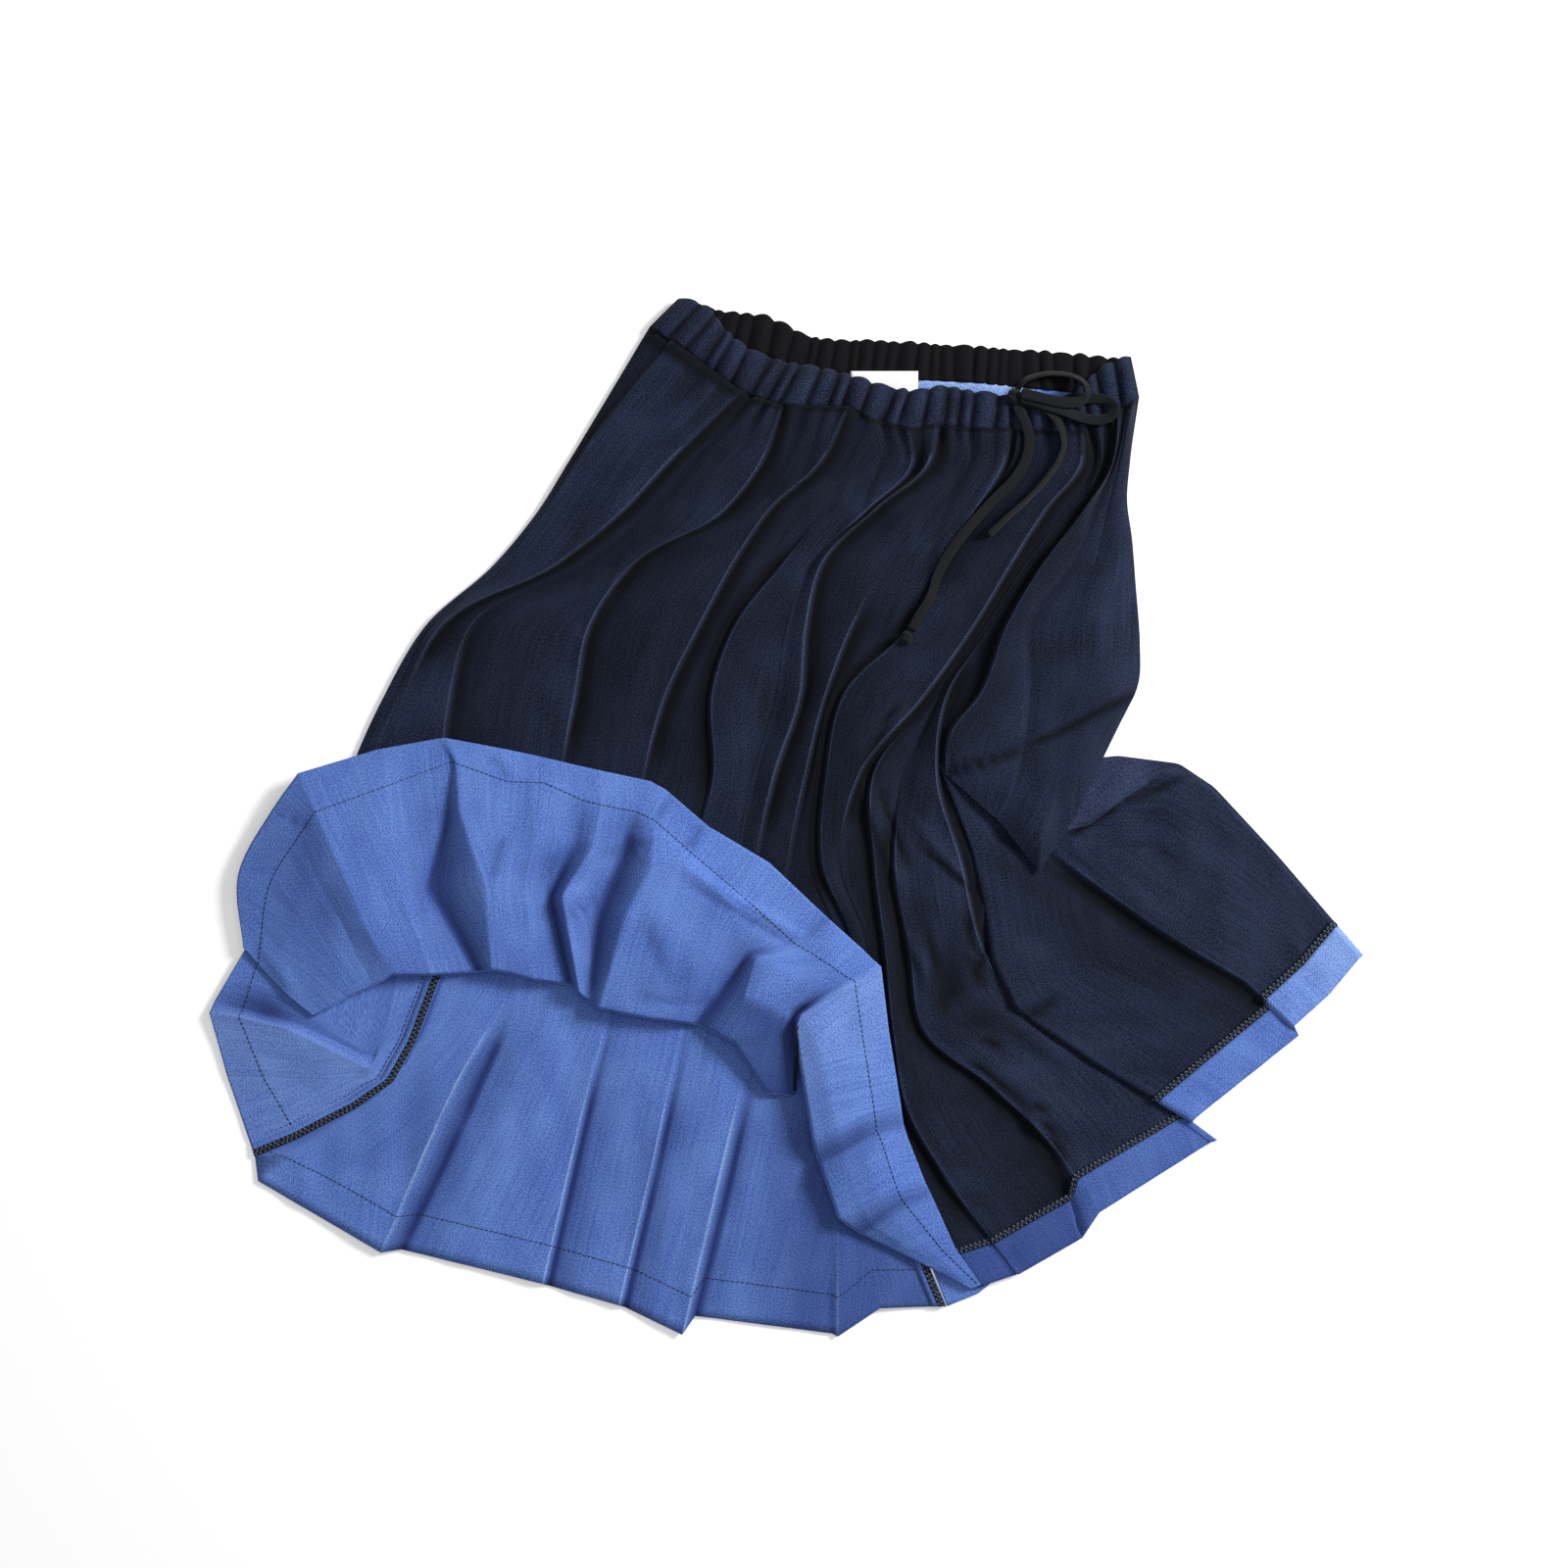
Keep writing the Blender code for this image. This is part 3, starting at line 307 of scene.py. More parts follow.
def cloth_piece(name, points, under, face, back, bases=(0,), marks=None, cells=None):
    """A thin closed sheet between an upper and an under grid, with its own colour on each side.

    Pairs of triangles join neighbouring points, split alike in both grids so that the two sides never
    cross, and a strip joins the grids along every open edge. The cloth's map is the distance down it
    and the distance across from the base column of each pressed face, so that the stripes run with each
    pleat. marks are attributes such as wear, a number at each point.
    """
    rows, columns = points.shape[:2]
    if cells is None:
        cells = np.ones((rows - 1, columns - 1), bool)
    across_run, down_run = running(points, 1), running(points, 0)
    order = np.searchsorted(bases, np.arange(columns - 1), side="right") - 1
    base = across_run[:, np.asarray(bases)[order]]
    corners = [(0, 0), (1, 0), (1, 1), (0, 1)]
    squares_map = np.stack([
        np.stack([
            across_run[i : rows - 1 + i, j : columns - 1 + j] - base[i : rows - 1 + i] + FACE_SHIFT * order,
            down_run[i : rows - 1 + i, j : columns - 1 + j],
        ], axis=-1)
        for i, j in corners
    ], axis=2)[cells]
    index = np.arange(rows * columns).reshape(rows, columns)
    squares = np.stack([index[:-1, :-1], index[1:, :-1], index[1:, 1:], index[:-1, 1:]], axis=-1)[cells]
    shift = rows * columns
    edges = np.concatenate([squares[:, [k, (k + 1) % 4]] for k in range(4)])
    shared = np.isin(edges[:, 1] * 2 * shift + edges[:, 0], edges[:, 0] * 2 * shift + edges[:, 1])
    rim = edges[~shared]
    halves = [[0, 1, 2], [0, 2, 3]]
    rim_squares = np.stack([rim[:, 1], rim[:, 0], rim[:, 0] + shift, rim[:, 1] + shift], axis=-1)
    triangles, rim_faces = (quads[:, halves].reshape(-1, 3) for quads in (squares, rim_squares))
    faces = np.concatenate([triangles, triangles[:, ::-1] + shift, rim_faces])
    used = np.zeros(2 * shift, bool)
    used[faces] = True
    renumber = np.cumsum(used) - 1
    both = np.concatenate([points.reshape(-1, 3), under.reshape(-1, 3)])
    mesh = bpy.data.meshes.new(name)
    mesh.from_pydata(both[used], [], renumber[faces].tolist())
    sides = np.zeros(len(faces), np.int32)
    sides[len(triangles) : 2 * len(triangles)] = 1
    mesh.materials.append(face)
    mesh.materials.append(back)
    mesh.polygons.foreach_set("material_index", sides)
    flat_map = np.tile(np.stack([across_run, down_run], axis=-1).reshape(-1, 2), (2, 1))
    layer = mesh.uv_layers.new(name="cloth")
    map_halves = squares_map[:, halves].reshape(-1, 3, 2)
    loops = np.concatenate([map_halves, map_halves[:, ::-1], flat_map[rim_faces]])
    layer.data.foreach_set("uv", loops.astype(np.float32).ravel())
    for mark, amount in (marks or {}).items():
        values = mesh.attributes.new(mark, "FLOAT", "POINT")
        values.data.foreach_set("value", np.tile(amount.ravel(), 2)[used].astype(np.float32))
    return placed(name, mesh)


def fold_marks(grid, folds, wear=0.7, deep=0.96, reach=20.0, full=5.0, shade=0.5):
    """Wear along each fold's crest, and painted shade from its foot on into the face it drops to, in steps.

    Both grow with the fold's drop, which counts as whole at full millimetres. At a distance d from the foot
    the painted shade is the greater of the near share times exp(-(d / reach)^3) and shade times exp(-(d / 4
    reach)^2).
    """
    run = running(grid[..., :2], 1)
    worn_and_lit = np.zeros(run.shape)
    sunk = np.zeros(run.shape)
    for crest, foot in folds:
        drop = np.clip((grid[:, crest, 2] - grid[:, foot, 2]) / full, 0, 1)[:, None]
        side = 1 if foot > crest else -1
        beyond = np.maximum((run - run[:, foot : foot + 1]) * side, 0)
        slope = (run - run[:, crest : crest + 1]) * side
        width = np.maximum(np.abs(run[:, foot] - run[:, crest]), 0.5)[:, None]
        near = deep * np.exp(-((beyond / reach) ** 3))
        broad = shade * np.exp(-((beyond / (4 * reach)) ** 2))
        sunk = np.maximum(sunk, np.maximum(near, broad) * drop * np.clip(slope / width, 0, 1))
        worn_and_lit[:, crest] = np.maximum(worn_and_lit[:, crest], drop[:, 0])
    return {"wear": worn_and_lit * wear, "deep": sunk}


# A fold drops by step mm to its side, 1 for right and -1 for left, from its first level to its last. With
# side 0 it is a line with no drop. ground is mm above the base. A station is x, or x and y, at each level.
Fold = namedtuple("Fold", "name side step first last ground stations")
LEVELS = (0, 470, 520, 575, 640, 710, 790, 880, 970, 0, 0, 0, 0)  # y in steps, where a station gives only x
BASE = (8.5, 8.0, 7.5, 7.0, 6.8, 6.5, 6.0, 6.0, 6.0, 5.4, 5.0, 5.0, 5.0)  # mm, the cloth at each level
WAIST_SEAM = (
    (663, 332), (700, 356), (727, 380), (762, 402), (825, 421), (864, 415), (905, 434), (941, 440),
    (967, 429), (1001, 444), (1030, 437), (1076, 452), (1110, 438), (1140, 420), (1163, 405),
)
EDGE_HEIGHT = 3.8  # mm
LEFT_FOLDS = (
    Fold("side", 0, 0, 0, 0, 0, (663, 580, 549, 504, 432, 391, 356, 336, (345, 985))),
    Fold("side_pleat", -1, 2.5, 0, 1, 0, (686, 591, 559, 515, 439, 400, 366, 346, (356, 982))),
    Fold("long_diagonal", 1, 6, 0, 4, 1, (756, 683, 636, 568, 448, 410, 376, 356, (368, 978))),
    Fold("shaded_dip", 1, 3, 4, 7, -1, (768, 706, 662, 598, 478, 458, 449, 440, (440, 962))),
    Fold("nosed_pleat", 1, 6, 0, 5.4, 0, (797, 776, 738, 645, 600, 586, 571, 560, (552, 965))),
    Fold("second_pleat", 1, 7, 0, 5.5, 1, (864, 837, 784, 747, 712, 678, 656, 640, (627, 992))),
    Fold("pocket_edge", -1, 4, 3, 6, 0, (892, 900, 845, 800, 750, 727, 729, 705, (690, 1010))),
    Fold("waist_pucker", 1, 5, 0, 2, 0, (925, 930, 884, 826, 802, 792, 768, 750, (722, 1020))),
    Fold("third_pleat", 1, 6, 0, 6.4, 0, (956, 948, 892, 838, 822, 816, 790, 770, (744, 1030))),
    Fold("soft_ridge", 1, 4, 4, 6.6, 0, (985, 985, 950, 905, 868, 841, 821, 803, (785, 1045))),
)
MIDDLE_FOLDS = (
    Fold("string_pleat", 1, 5, 0, 3, 0,
         (1031, 1024, 994, 955, 921, 850, 833, 827, 856, (834, 1056), (854, 1148), (886, 1232))),
    Fold("string_pleat_low", -1, 5, 4, 7.4, 0,
         (1040, 1034, 1004, 966, 929, 861, 844, 840, 871, (850, 1052), (868, 1142), (904, 1227))),
    Fold("pocket_pleat", 1, 8, 0, 6, 1,
         (1103, 1103, 1066, 1031, 992, 942, 876, 857, 885, (868, 1050), (888, 1138), (932, 1222),
          (997, 1314))),
    Fold("strip_pleat", -1, 5, 6, 11, -1,
         (1112, 1119, 1088, 1046, 1004, 955, 892, 893, 904, (912, 1050), (926, 1130), (965, 1200),
          (1040, 1301))),
    Fold("corner_pleat", -1, 5, 7, 12, -1,
         (1118, 1122, 1092, 1050, 1008, 960, 925, 914, 929, (944, 1052), (1012, 1108), (1072, 1166),
          (1122, 1237))),
    Fold("twist_pleat", 1, 6, 5, 7.6, -0.6,
         (1124, 1125, 1096, 1054, 1012, 965, 955, 980, 1003, (1022, 1006), (1072, 1050), (1148, 1101),
          (1236, 1166))),
    Fold("under_flap", 0, 0, 0, 0, -1.2,
         (1132, 1133, 1104, 1062, 1020, 973, 962, (989, 842), (1016, 926), (1033, 1000), (1080, 1047),
          (1155, 1099), (1243, 1164))),
)
FLAP_FOLDS = (
    Fold("flap_pleat", -1, 8, 0, 5.6, 4.5,
         (1142, 1129, 1103, 1060, 1027, (1001, 708), (970, 750), (966, 782), (966, 791))),
    Fold("flap_press_line", 1, 1, 3, 6, 7,
         (1148, 1136, 1116, 1090, (1048, 632), (1046, 700), (1040, 757), (1018, 828), (1014, 834))),
    Fold("flap_tip", 0, 0, 0, 0, 7,
         (1153, 1142, 1130, (1120, 565), (1100, 620), (1097, 685), (1082, 738), (1061, 885), (1061, 890))),
    Fold("flap_edge", 0, 0, 0, 0, 6,
         (1158, 1148, (1142, 515), (1142, 555), (1137, 610), (1135, 672), (1130, 714), (1096, 824),
          (1097, 832))),
    Fold("flap_side", 0, 0, 0, 0, 0,
         (1163, 1154, (1151, 510), (1156, 550), (1160, 600), (1164, 660), (1163, 694), (1159, 708),
          (1151, 723))),
)
FLAP_LIFT = (0, 0, 0, 0.2, 0.4, 0.6, 0.9, 1.0, 0.75)  # how far the flap's ground is reached at each level
FOOT_AT_HEM = {"corner_pleat": (1105, 1264)}
AT_SEAM = 0.6  # share of a fold that stands where it is sewn to the waistband
FLAT_LEVELS = 7  # levels that all the front's columns share
LEAST_STEP = 1.2  # steps between two columns
FADE = 0.8  # levels over which a fold fades out
NARROW_STEP, WIDE_STEP = 2.0, 5.0  # steps from a crest to its foot, where it lies flat and where it stands
UNDERCUT = 1.0  # mm that a foot lies below the ground
FRONT_SWELL = 0.8  # mm
FRONT_ALONG = 14  # squares between two stations
SQUARE = 4.4  # steps, the width of a square across the cloth


def fold_strength(fold, level):
    """How much of a fold stands at a level: 1 from its first to its last, fading out beyond them."""
    beyond = max(fold.first - level, level - fold.last, 0.0)
    return float(np.clip(1 - beyond / FADE, 0, 1))


def fold_columns(fold, lift):
    """The stations of a fold's crest and, where it has a side, of the foot that it drops to."""
    seam_x, seam_y = np.array(WAIST_SEAM, float).T
    crest = []
    foot = []
    for level, cell in enumerate(fold.stations):
        x, y = cell if isinstance(cell, tuple) else (cell, LEVELS[level])
        if level == 0:
            y = np.interp(x, seam_x, seam_y)
        ground = BASE[level] + fold.ground * lift[level]
        strength = fold_strength(fold, level) * (AT_SEAM if level == 0 else 1)
        step = NARROW_STEP + (WIDE_STEP - NARROW_STEP) * strength
        crest.append((x, y, ground + fold.step * strength))
        foot.append((x + fold.side * step, y, ground - UNDERCUT * strength))
    if fold.name in FOOT_AT_HEM:
        foot[-1] = (*FOOT_AT_HEM[fold.name], foot[-1][2])
    if fold.side == 0:
        return [np.array(crest)]
    pair = [np.array(crest), np.array(foot)]
    return pair if fold.side > 0 else pair[::-1]


def cells_between(left, right):
    """How many squares a face needs across, from its mean width."""
    rows = min(len(left), len(right))
    width = np.linalg.norm(right[:rows, :2] - left[:rows, :2], axis=1).mean()
    return int(max(2, round(width / SQUARE)))


def front_grid():
    """The front's grid, the squares of it that are cloth, its column numbers by name, and the first
    column of each of its faces."""
    even = (1,) * len(LEVELS)
    columns = []
    names = []
    for group, lift in ((LEFT_FOLDS, even), (MIDDLE_FOLDS, even), (FLAP_FOLDS, FLAP_LIFT)):
        first_of_group = len(columns)
        for fold in group:
            pair = fold_columns(fold, lift)
            if fold.side == 0:
                pair[0][:, 2] = np.where(fold.ground == 0, EDGE_HEIGHT, pair[0][:, 2])
            columns += pair
            if fold.side == 0:
                names += [fold.name]
            else:
                names += [f"{fold.name} crest", f"{fold.name} foot"][:: fold.side]
    for k in range(1, len(columns)):
        shared = min(len(columns[k - 1]), len(columns[k]), FLAT_LEVELS)
        columns[k][:shared, 0] = np.maximum(columns[k][:shared, 0], columns[k - 1][:shared, 0] + LEAST_STEP)
    ends = [len(stations) - 1 for stations in columns]
    curves = []
    for stations in columns:
        samples = curve_through(stations, FRONT_ALONG)
        level_rows = min(len(samples), (FLAT_LEVELS - 1) * FRONT_ALONG + 1)
        if curves:
            apart = curves[-1][:level_rows, 0] + LEAST_STEP
            samples[:level_rows, 0] = np.maximum(samples[:level_rows, 0], apart)
        rest = np.repeat(samples[-1:], (max(ends) - ends[len(curves)]) * FRONT_ALONG, axis=0)
        curves.append(np.concatenate([samples, rest]))
    counts = [cells_between(left, right) for left, right in zip(columns[:-1], columns[1:])]
    starts = np.concatenate([[0], np.cumsum(counts)]).tolist()
    grid = across(curves, counts, FRONT_SWELL)
    mask = np.zeros((grid.shape[0] - 1, grid.shape[1] - 1), bool)
    for k, start in enumerate(starts[:-1]):
        last = FLAT_LEVELS - 1 if k + 1 == first_of_group else min(ends[k], ends[k + 1])
        mask[: last * FRONT_ALONG, start : starts[k + 1]] = True
    return grid, mask, dict(zip(names, starts)), starts[:-1]


def lowered(grid, thick):
    """The grid let straight down by a thickness in millimetres, never below the surface."""
    under = grid.copy()
    under[..., 2] = np.maximum(grid[..., 2] - thick, 0.0)
    return under


FRONT_CREASES = (
    Crease(955, 784, 1055, 751, 6, 2.4), Crease(1030, 761, 1175, 689, 6, 2.6),
    Crease(955, 795, 1055, 762, 5, -2.2), Crease(1030, 772, 1175, 700, 5, -2.2),
    Crease(1135, 560, 1060, 730, 14, 1.0), Crease(1100, 600, 1080, 720, 10, -0.8),
    Crease(1015, 900, 1048, 1010, 5, 4.0), Crease(985, 915, 1003, 1030, 4, -3.2),
    Crease(1006, 925, 970, 990, 5, 3.6), Crease(975, 985, 1010, 1045, 5, 3.4),
    Crease(1016, 945, 990, 1015, 4, -3.2), Crease(925, 950, 978, 1070, 5, 4.0),
    Crease(950, 990, 1035, 1090, 4, -3.4), Crease(943, 920, 968, 1050, 4, -3.2),
    Crease(970, 1055, 1070, 1128, 5, 4.0), Crease(985, 1075, 1058, 1142, 4, -3.0),
    Crease(1005, 1035, 1100, 1108, 4, -3.2), Crease(1000, 1022, 1090, 1080, 5, 2.8),
    Crease(915, 1065, 990, 1180, 5, 3.2), Crease(928, 1060, 1005, 1170, 4, -2.8),
    Crease(1040, 1110, 1085, 1215, 5, 2.4), Crease(1052, 1108, 1092, 1200, 4, -2.4),
    Crease(910, 690, 862, 770, 5, 2.6), Crease(925, 700, 872, 800, 4, -3.0),
    Crease(876, 790, 918, 910, 5, 2.4), Crease(890, 785, 930, 895, 4, -2.6),
    Crease(925, 830, 990, 905, 5, 2.6), Crease(935, 860, 1005, 920, 4, -2.6),
    Crease(955, 810, 1005, 915, 4, 2.0), Crease(972, 815, 1015, 900, 4, -2.2),
    Crease(645, 556, 596, 650, 5, 2.0), Crease(662, 560, 622, 615, 5, -2.2),
    Crease(720, 560, 640, 700, 8, 1.0), Crease(736, 600, 680, 720, 5, -1.2),
    Crease(770, 425, 700, 530, 6, 1.6), Crease(845, 430, 800, 530, 6, -1.6),
    Crease(885, 440, 850, 530, 5, 1.8), Crease(908, 450, 878, 530, 4, -1.8),
    Crease(950, 450, 925, 570, 5, 1.4), Crease(988, 460, 940, 600, 6, -1.4),
    Crease(705, 385, 640, 480, 6, 1.4), Crease(750, 405, 690, 480, 5, -1.4),
    Crease(1122, 465, 1098, 570, 4, 1.4), Crease(1098, 465, 1050, 570, 5, -1.6),
    Crease(820, 560, 790, 700, 5, 1.4), Crease(850, 600, 812, 740, 4, -1.6),
    Crease(560, 640, 520, 740, 7, 0.9), Crease(470, 600, 440, 700, 5, -1.0),
)
Hollow = namedtuple("Hollow", "x y half_x half_y deep")  # steps, and how dark the painted shade at its middle is, 0 to 1
# Painted shade in the front's hollows.
FRONT_HOLLOWS = (
    Hollow(884, 880, 14, 120, 0.8), Hollow(935, 1120, 16, 90, 0.6), Hollow(972, 1000, 22, 42, 0.8),
    Hollow(1000, 1040, 34, 20, 0.75), Hollow(985, 690, 20, 60, 0.85), Hollow(955, 760, 12, 50, 0.7),
    Hollow(1010, 620, 12, 70, 0.6), Hollow(1035, 560, 10, 60, 0.6), Hollow(940, 930, 12, 60, 0.5),
    Hollow(905, 640, 14, 60, 0.5), Hollow(800, 800, 16, 60, 0.5), Hollow(745, 700, 14, 60, 0.4),
    Hollow(752, 432, 34, 34, 0.55), Hollow(768, 520, 26, 46, 0.5), Hollow(680, 566, 34, 20, 0.5),
    Hollow(862, 560, 20, 50, 0.6), Hollow(903, 452, 12, 26, 0.65), Hollow(918, 545, 18, 50, 0.45),
    Hollow(800, 610, 22, 60, 0.5), Hollow(1000, 650, 16, 60, 0.85), Hollow(1052, 560, 14, 60, 0.7),
    Hollow(1086, 500, 12, 50, 0.6), Hollow(1128, 440, 12, 40, 0.7), Hollow(560, 620, 30, 40, 0.35),
)
WAIST_GATHERS = 28
PUCKER_HEIGHT = 2.6  # mm
LEAST_HEIGHT = 3.4  # mm, clear of the back panel
SEAM_ROWS, SEAM_DARK = 2, 0.9  # rows of the grid in the shade of the waist seam, and how dark
NEW_ROWS, NEW_WEAR = 12, 0.4  # rows below the seam where creases are less worn, and how much is left


def gather_phase(count, along, seed):
    """How many gathers lie before each place along a gathered edge: their widths differ by up to 45%."""
    widths = np.random.default_rng(seed).uniform(0.55, 1.45, count)
    edges = np.concatenate([[0], np.cumsum(widths)]) / widths.sum()
    return np.interp(along, edges, np.arange(count + 1))


def hollows(grid, table):
    """How much painted shade each point gets in the hollows: the greatest over them of a hollow's middle
    share times exp(-(x / half_x)^2 - (y / half_y)^2).
    """
    dark = []
    for row in table:
        over = ((grid[..., 0] - row.x) / row.half_x) ** 2
        down = ((grid[..., 1] - row.y) / row.half_y) ** 2
        dark.append(row.deep * np.exp(-over - down))
    return np.max(dark, axis=0)


def puckers(grid, count, seed):
    """Small folds that run down from a gathered edge, as heights from -1 to 1: a sine of the gather's phase
    times exp(-(distance / length)^1.5), where each fold has its own length."""
    run = running(grid[:1, :, :2], 1)[0]
    along = run / run[-1]
    lengths = np.random.default_rng(seed + 1).uniform(14, 75, count)
    length = np.interp(along, np.linspace(0, 1, count), lengths)
    below = running(grid[..., :2], 0)
    return -np.cos(2 * np.pi * gather_phase(count, along, seed)) * np.exp(-((below / length) ** 1.5))


front, front_cells, column_of, front_faces = front_grid()
crests = [name for name in column_of if name.endswith(" crest")]
front_folds = [(column_of[name], column_of[name.replace(" crest", " foot")]) for name in crests]
front_marks = fold_marks(front, front_folds, shade=0.65)
waist_puckers = puckers(front, WAIST_GATHERS, 21)
# Painted shade in the puckers' troughs, in the hollows and under the waist seam.
front_marks["deep"] = np.maximum(front_marks["deep"], np.clip(-waist_puckers, 0, 1) * SEAM_DARK)
front_marks["deep"] = np.maximum(front_marks["deep"], hollows(front, FRONT_HOLLOWS))
front_marks["deep"][:SEAM_ROWS] = SEAM_DARK
front_marks["wear"][:NEW_ROWS] *= NEW_WEAR
front = creased(front, FRONT_CREASES, front_marks)
front[..., 2] += waist_puckers * PUCKER_HEIGHT + ripples(front, 24, 0.16, 0.3, 4)
front[..., 2] = np.maximum(front[..., 2], LEAST_HEIGHT)
front[..., 2] += ripples(front, 55, 0.35, 0.2, 3)
front_panel = cloth_piece("front_cloth", metres(front), metres(lowered(front, CLOTH)), NAVY, BLUE,
                          front_faces, front_marks, front_cells)
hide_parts("front_panel")

# The right-hand pleats of the front.
# Two pleats of the same cloth that come out from under the twisted side and run to the hem.

Pleat = namedtuple("Pleat", "name stations")  # each station is x, y and the height of the cloth
RIGHT_PLEATS = (
    Pleat("under_twist_foot", ((958, 780, 7.0), (991, 864, 7.2), (1005, 926, 7.4), (1011, 978, 7.4),
                               (1034, 1031, 7.4), (1104, 1079, 7.4), (1162, 1114, 7.4), (1216, 1146, 7.2))),
    Pleat("under_twist", ((962, 778, 7.1), (995, 862, 7.8), (1009, 924, 8.5), (1016, 975, 10),
                          (1039, 1027, 10.5), (1108, 1075, 10), (1165, 1110, 9.6), (1220, 1141, 9.0))),
    Pleat("lower_pleat_foot", ((1036, 838, 5), (1060, 868, 5), (1093, 893, 5), (1131, 919, 5),
                               (1177, 951, 5), (1222, 979, 5), (1266, 1005, 5), (1326, 1057, 4.8))),
    Pleat("lower_pleat", ((1041, 833, 5.5), (1066, 862, 6), (1097, 884, 10), (1135, 913, 11),
                          (1180, 945, 11), (1225, 973, 10.5), (1270, 999, 10), (1321, 1047, 8.5))),
    Pleat("upper_face", ((1049, 829, 5), (1074, 856, 6), (1105, 864, 7.5), (1142, 865, 8),
                         (1187, 866, 8), (1232, 892, 7.5), (1287, 938, 7), (1358, 1014, 6.5))),
    Pleat("turned_ridge", ((1058, 824, 5), (1082, 848, 7), (1112, 842, 10), (1150, 812, 10.5),
                           (1192, 785, 9), (1236, 806, 7), (1301, 876, 6), (1388, 978, 5.5))),
    Pleat("far_side", ((1066, 812, 3.6), (1086, 800, 3.6), (1112, 774, 3.6), (1142, 771, 3.4),
                       (1204, 779, 3.4), (1240, 803, 3.4), (1305, 873, 3.4), (1392, 975, 3.4))),
)
RIGHT_CREASES = (
    Crease(1082, 846, 1150, 806, 5, 1.4), Crease(1150, 806, 1200, 786, 4, 1.2),
    Crease(1085, 850, 1135, 905, 6, 1.5), Crease(1070, 868, 1125, 925, 6, -1.4),
    Crease(1020, 1035, 1065, 1005, 6, 2.0), Crease(1028, 1050, 1085, 1015, 7, -1.8),
    Crease(1060, 870, 1010, 850, 7, -1.2), Crease(1130, 900, 1240, 985, 5, 0.9),
    Crease(1055, 900, 1160, 1000, 10, 0.9), Crease(1090, 890, 1230, 1060, 12, -0.7),
    Crease(1190, 830, 1300, 960, 12, 0.8), Crease(1160, 840, 1260, 950, 9, -0.7),
    Crease(1085, 856, 1150, 818, 4, -2.4), Crease(1135, 824, 1215, 790, 4, -2.0),
)
PLEAT_ALONG = 16  # squares between two stations
TURNED_FACE_ENDS, TURNED_FACE_LIT = 4.4, 0.5  # stations that the turned face runs for, and how pale its painted light makes it


def bent_through(stations, cells):
    """Straight runs between the stations, their bends rounded by averaging neighbouring points."""
    at = np.arange(len(stations)) * cells
    samples = np.stack([np.interp(np.arange(at[-1] + 1), at, stations[:, k]) for k in range(3)], axis=-1)
    for _ in range(2):
        samples[1:-1] = (samples[:-2] + 2 * samples[1:-1] + samples[2:]) / 4
    return samples


def pleated(rows, along=PLEAT_ALONG, drawn=bent_through):
    """A fine grid through a table of pleats, each drawn along its stations, and its columns by name."""
    stations = [np.array(row.stations, float) for row in rows]
    counts = [cells_between(left, right) for left, right in zip(stations[:-1], stations[1:])]
    grid = across([drawn(row, along) for row in stations], counts, 0.0)
    starts = np.concatenate([[0], np.cumsum(counts)]).tolist()
    return grid, dict(zip([row.name for row in rows], starts))


right, right_starts = pleated(RIGHT_PLEATS)
right_marks = fold_marks(right, [(right_starts["under_twist"], right_starts["under_twist_foot"]),
                                 (right_starts["lower_pleat"], right_starts["lower_pleat_foot"])])
# Painted light on the turned face beyond the ridge, near the twist, where it faces the key light.
turned = right_starts["turned_ridge"]
beyond_ridge = (np.arange(right.shape[1]) >= turned)[None, :]
near_twist = np.clip(TURNED_FACE_ENDS - np.arange(len(right)) / PLEAT_ALONG, 0, 1)[:, None]
right_marks["wear"] = np.maximum(right_marks["wear"], beyond_ridge * near_twist * TURNED_FACE_LIT)
right = creased(right, RIGHT_CREASES, right_marks)
right[..., 2] += ripples(right, 60, 0.4, 2.2, 5)
right_pleats = cloth_piece("front_cloth_right_pleats", metres(right), metres(lowered(right, CLOTH)), NAVY,
                           BLUE, list(right_starts.values())[:-1], right_marks)
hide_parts("front_panel_right_pleats")

# The hem's turn-up.
# 30 mm of the cloth turned to the outside, so its blue inside shows as a band. Its raw edge is
# overlocked with dark thread and sewn down along it.

HEM_TURN_UP = 40.0  # steps, 30 mm
HEM_CLEAR, HEM_THICK = 0.25, 1.0  # mm
HEM_CELLS = 10
THREAD_RADIUS = 0.00055  # metres, about twice as coarse as the real thread so that it shows
# A thread swings so many times in a pitch, from first to last as shares of the width, lifted by metres.
Looper = namedtuple("Looper", "phase swings first last lift")
OVERLOCK_THREADS = (
    Looper(0.0, 1.0, 0.0, 1.0, 0.0004), Looper(0.5, 1.0, 0.0, 1.0, 0.0006),
    Looper(0.25, 0.7, 0.15, 0.9, 0.0010),
)
OVERLOCK_WIDTH, OVERLOCK_PITCH = 0.0060, 0.0026  # metres
OVERLOCK_POINTS = 6  # points of the thread in a pitch
THREAD_SIDES, THREAD_END = 5, 0.35  # sides of a thread, and how much narrower its ends are


def polyester_thread(name, colour):
    """Spun polyester sewing thread: matt with a faint glint."""
    material, _, shader = new_material(name, 0.6, 0.1)
    shader.inputs["Base Color"].default_value = linear(colour)
    return material


DARK_THREAD = polyester_thread("navy_polyester_thread", "#0c0f18")
PALE_THREAD = polyester_thread("slate_polyester_thread", "#707d96")


def up_from_hem(column, distances):
    """Points on a column of cloth at these distances from its hem, in steps."""
    steps = np.linalg.norm(np.diff(column[:, :2], axis=0), axis=1)
    run = np.concatenate([np.cumsum(steps[::-1])[::-1], [0.0]])
    return np.stack([[np.interp(d, run[::-1], column[::-1, k]) for k in range(3)] for d in distances])


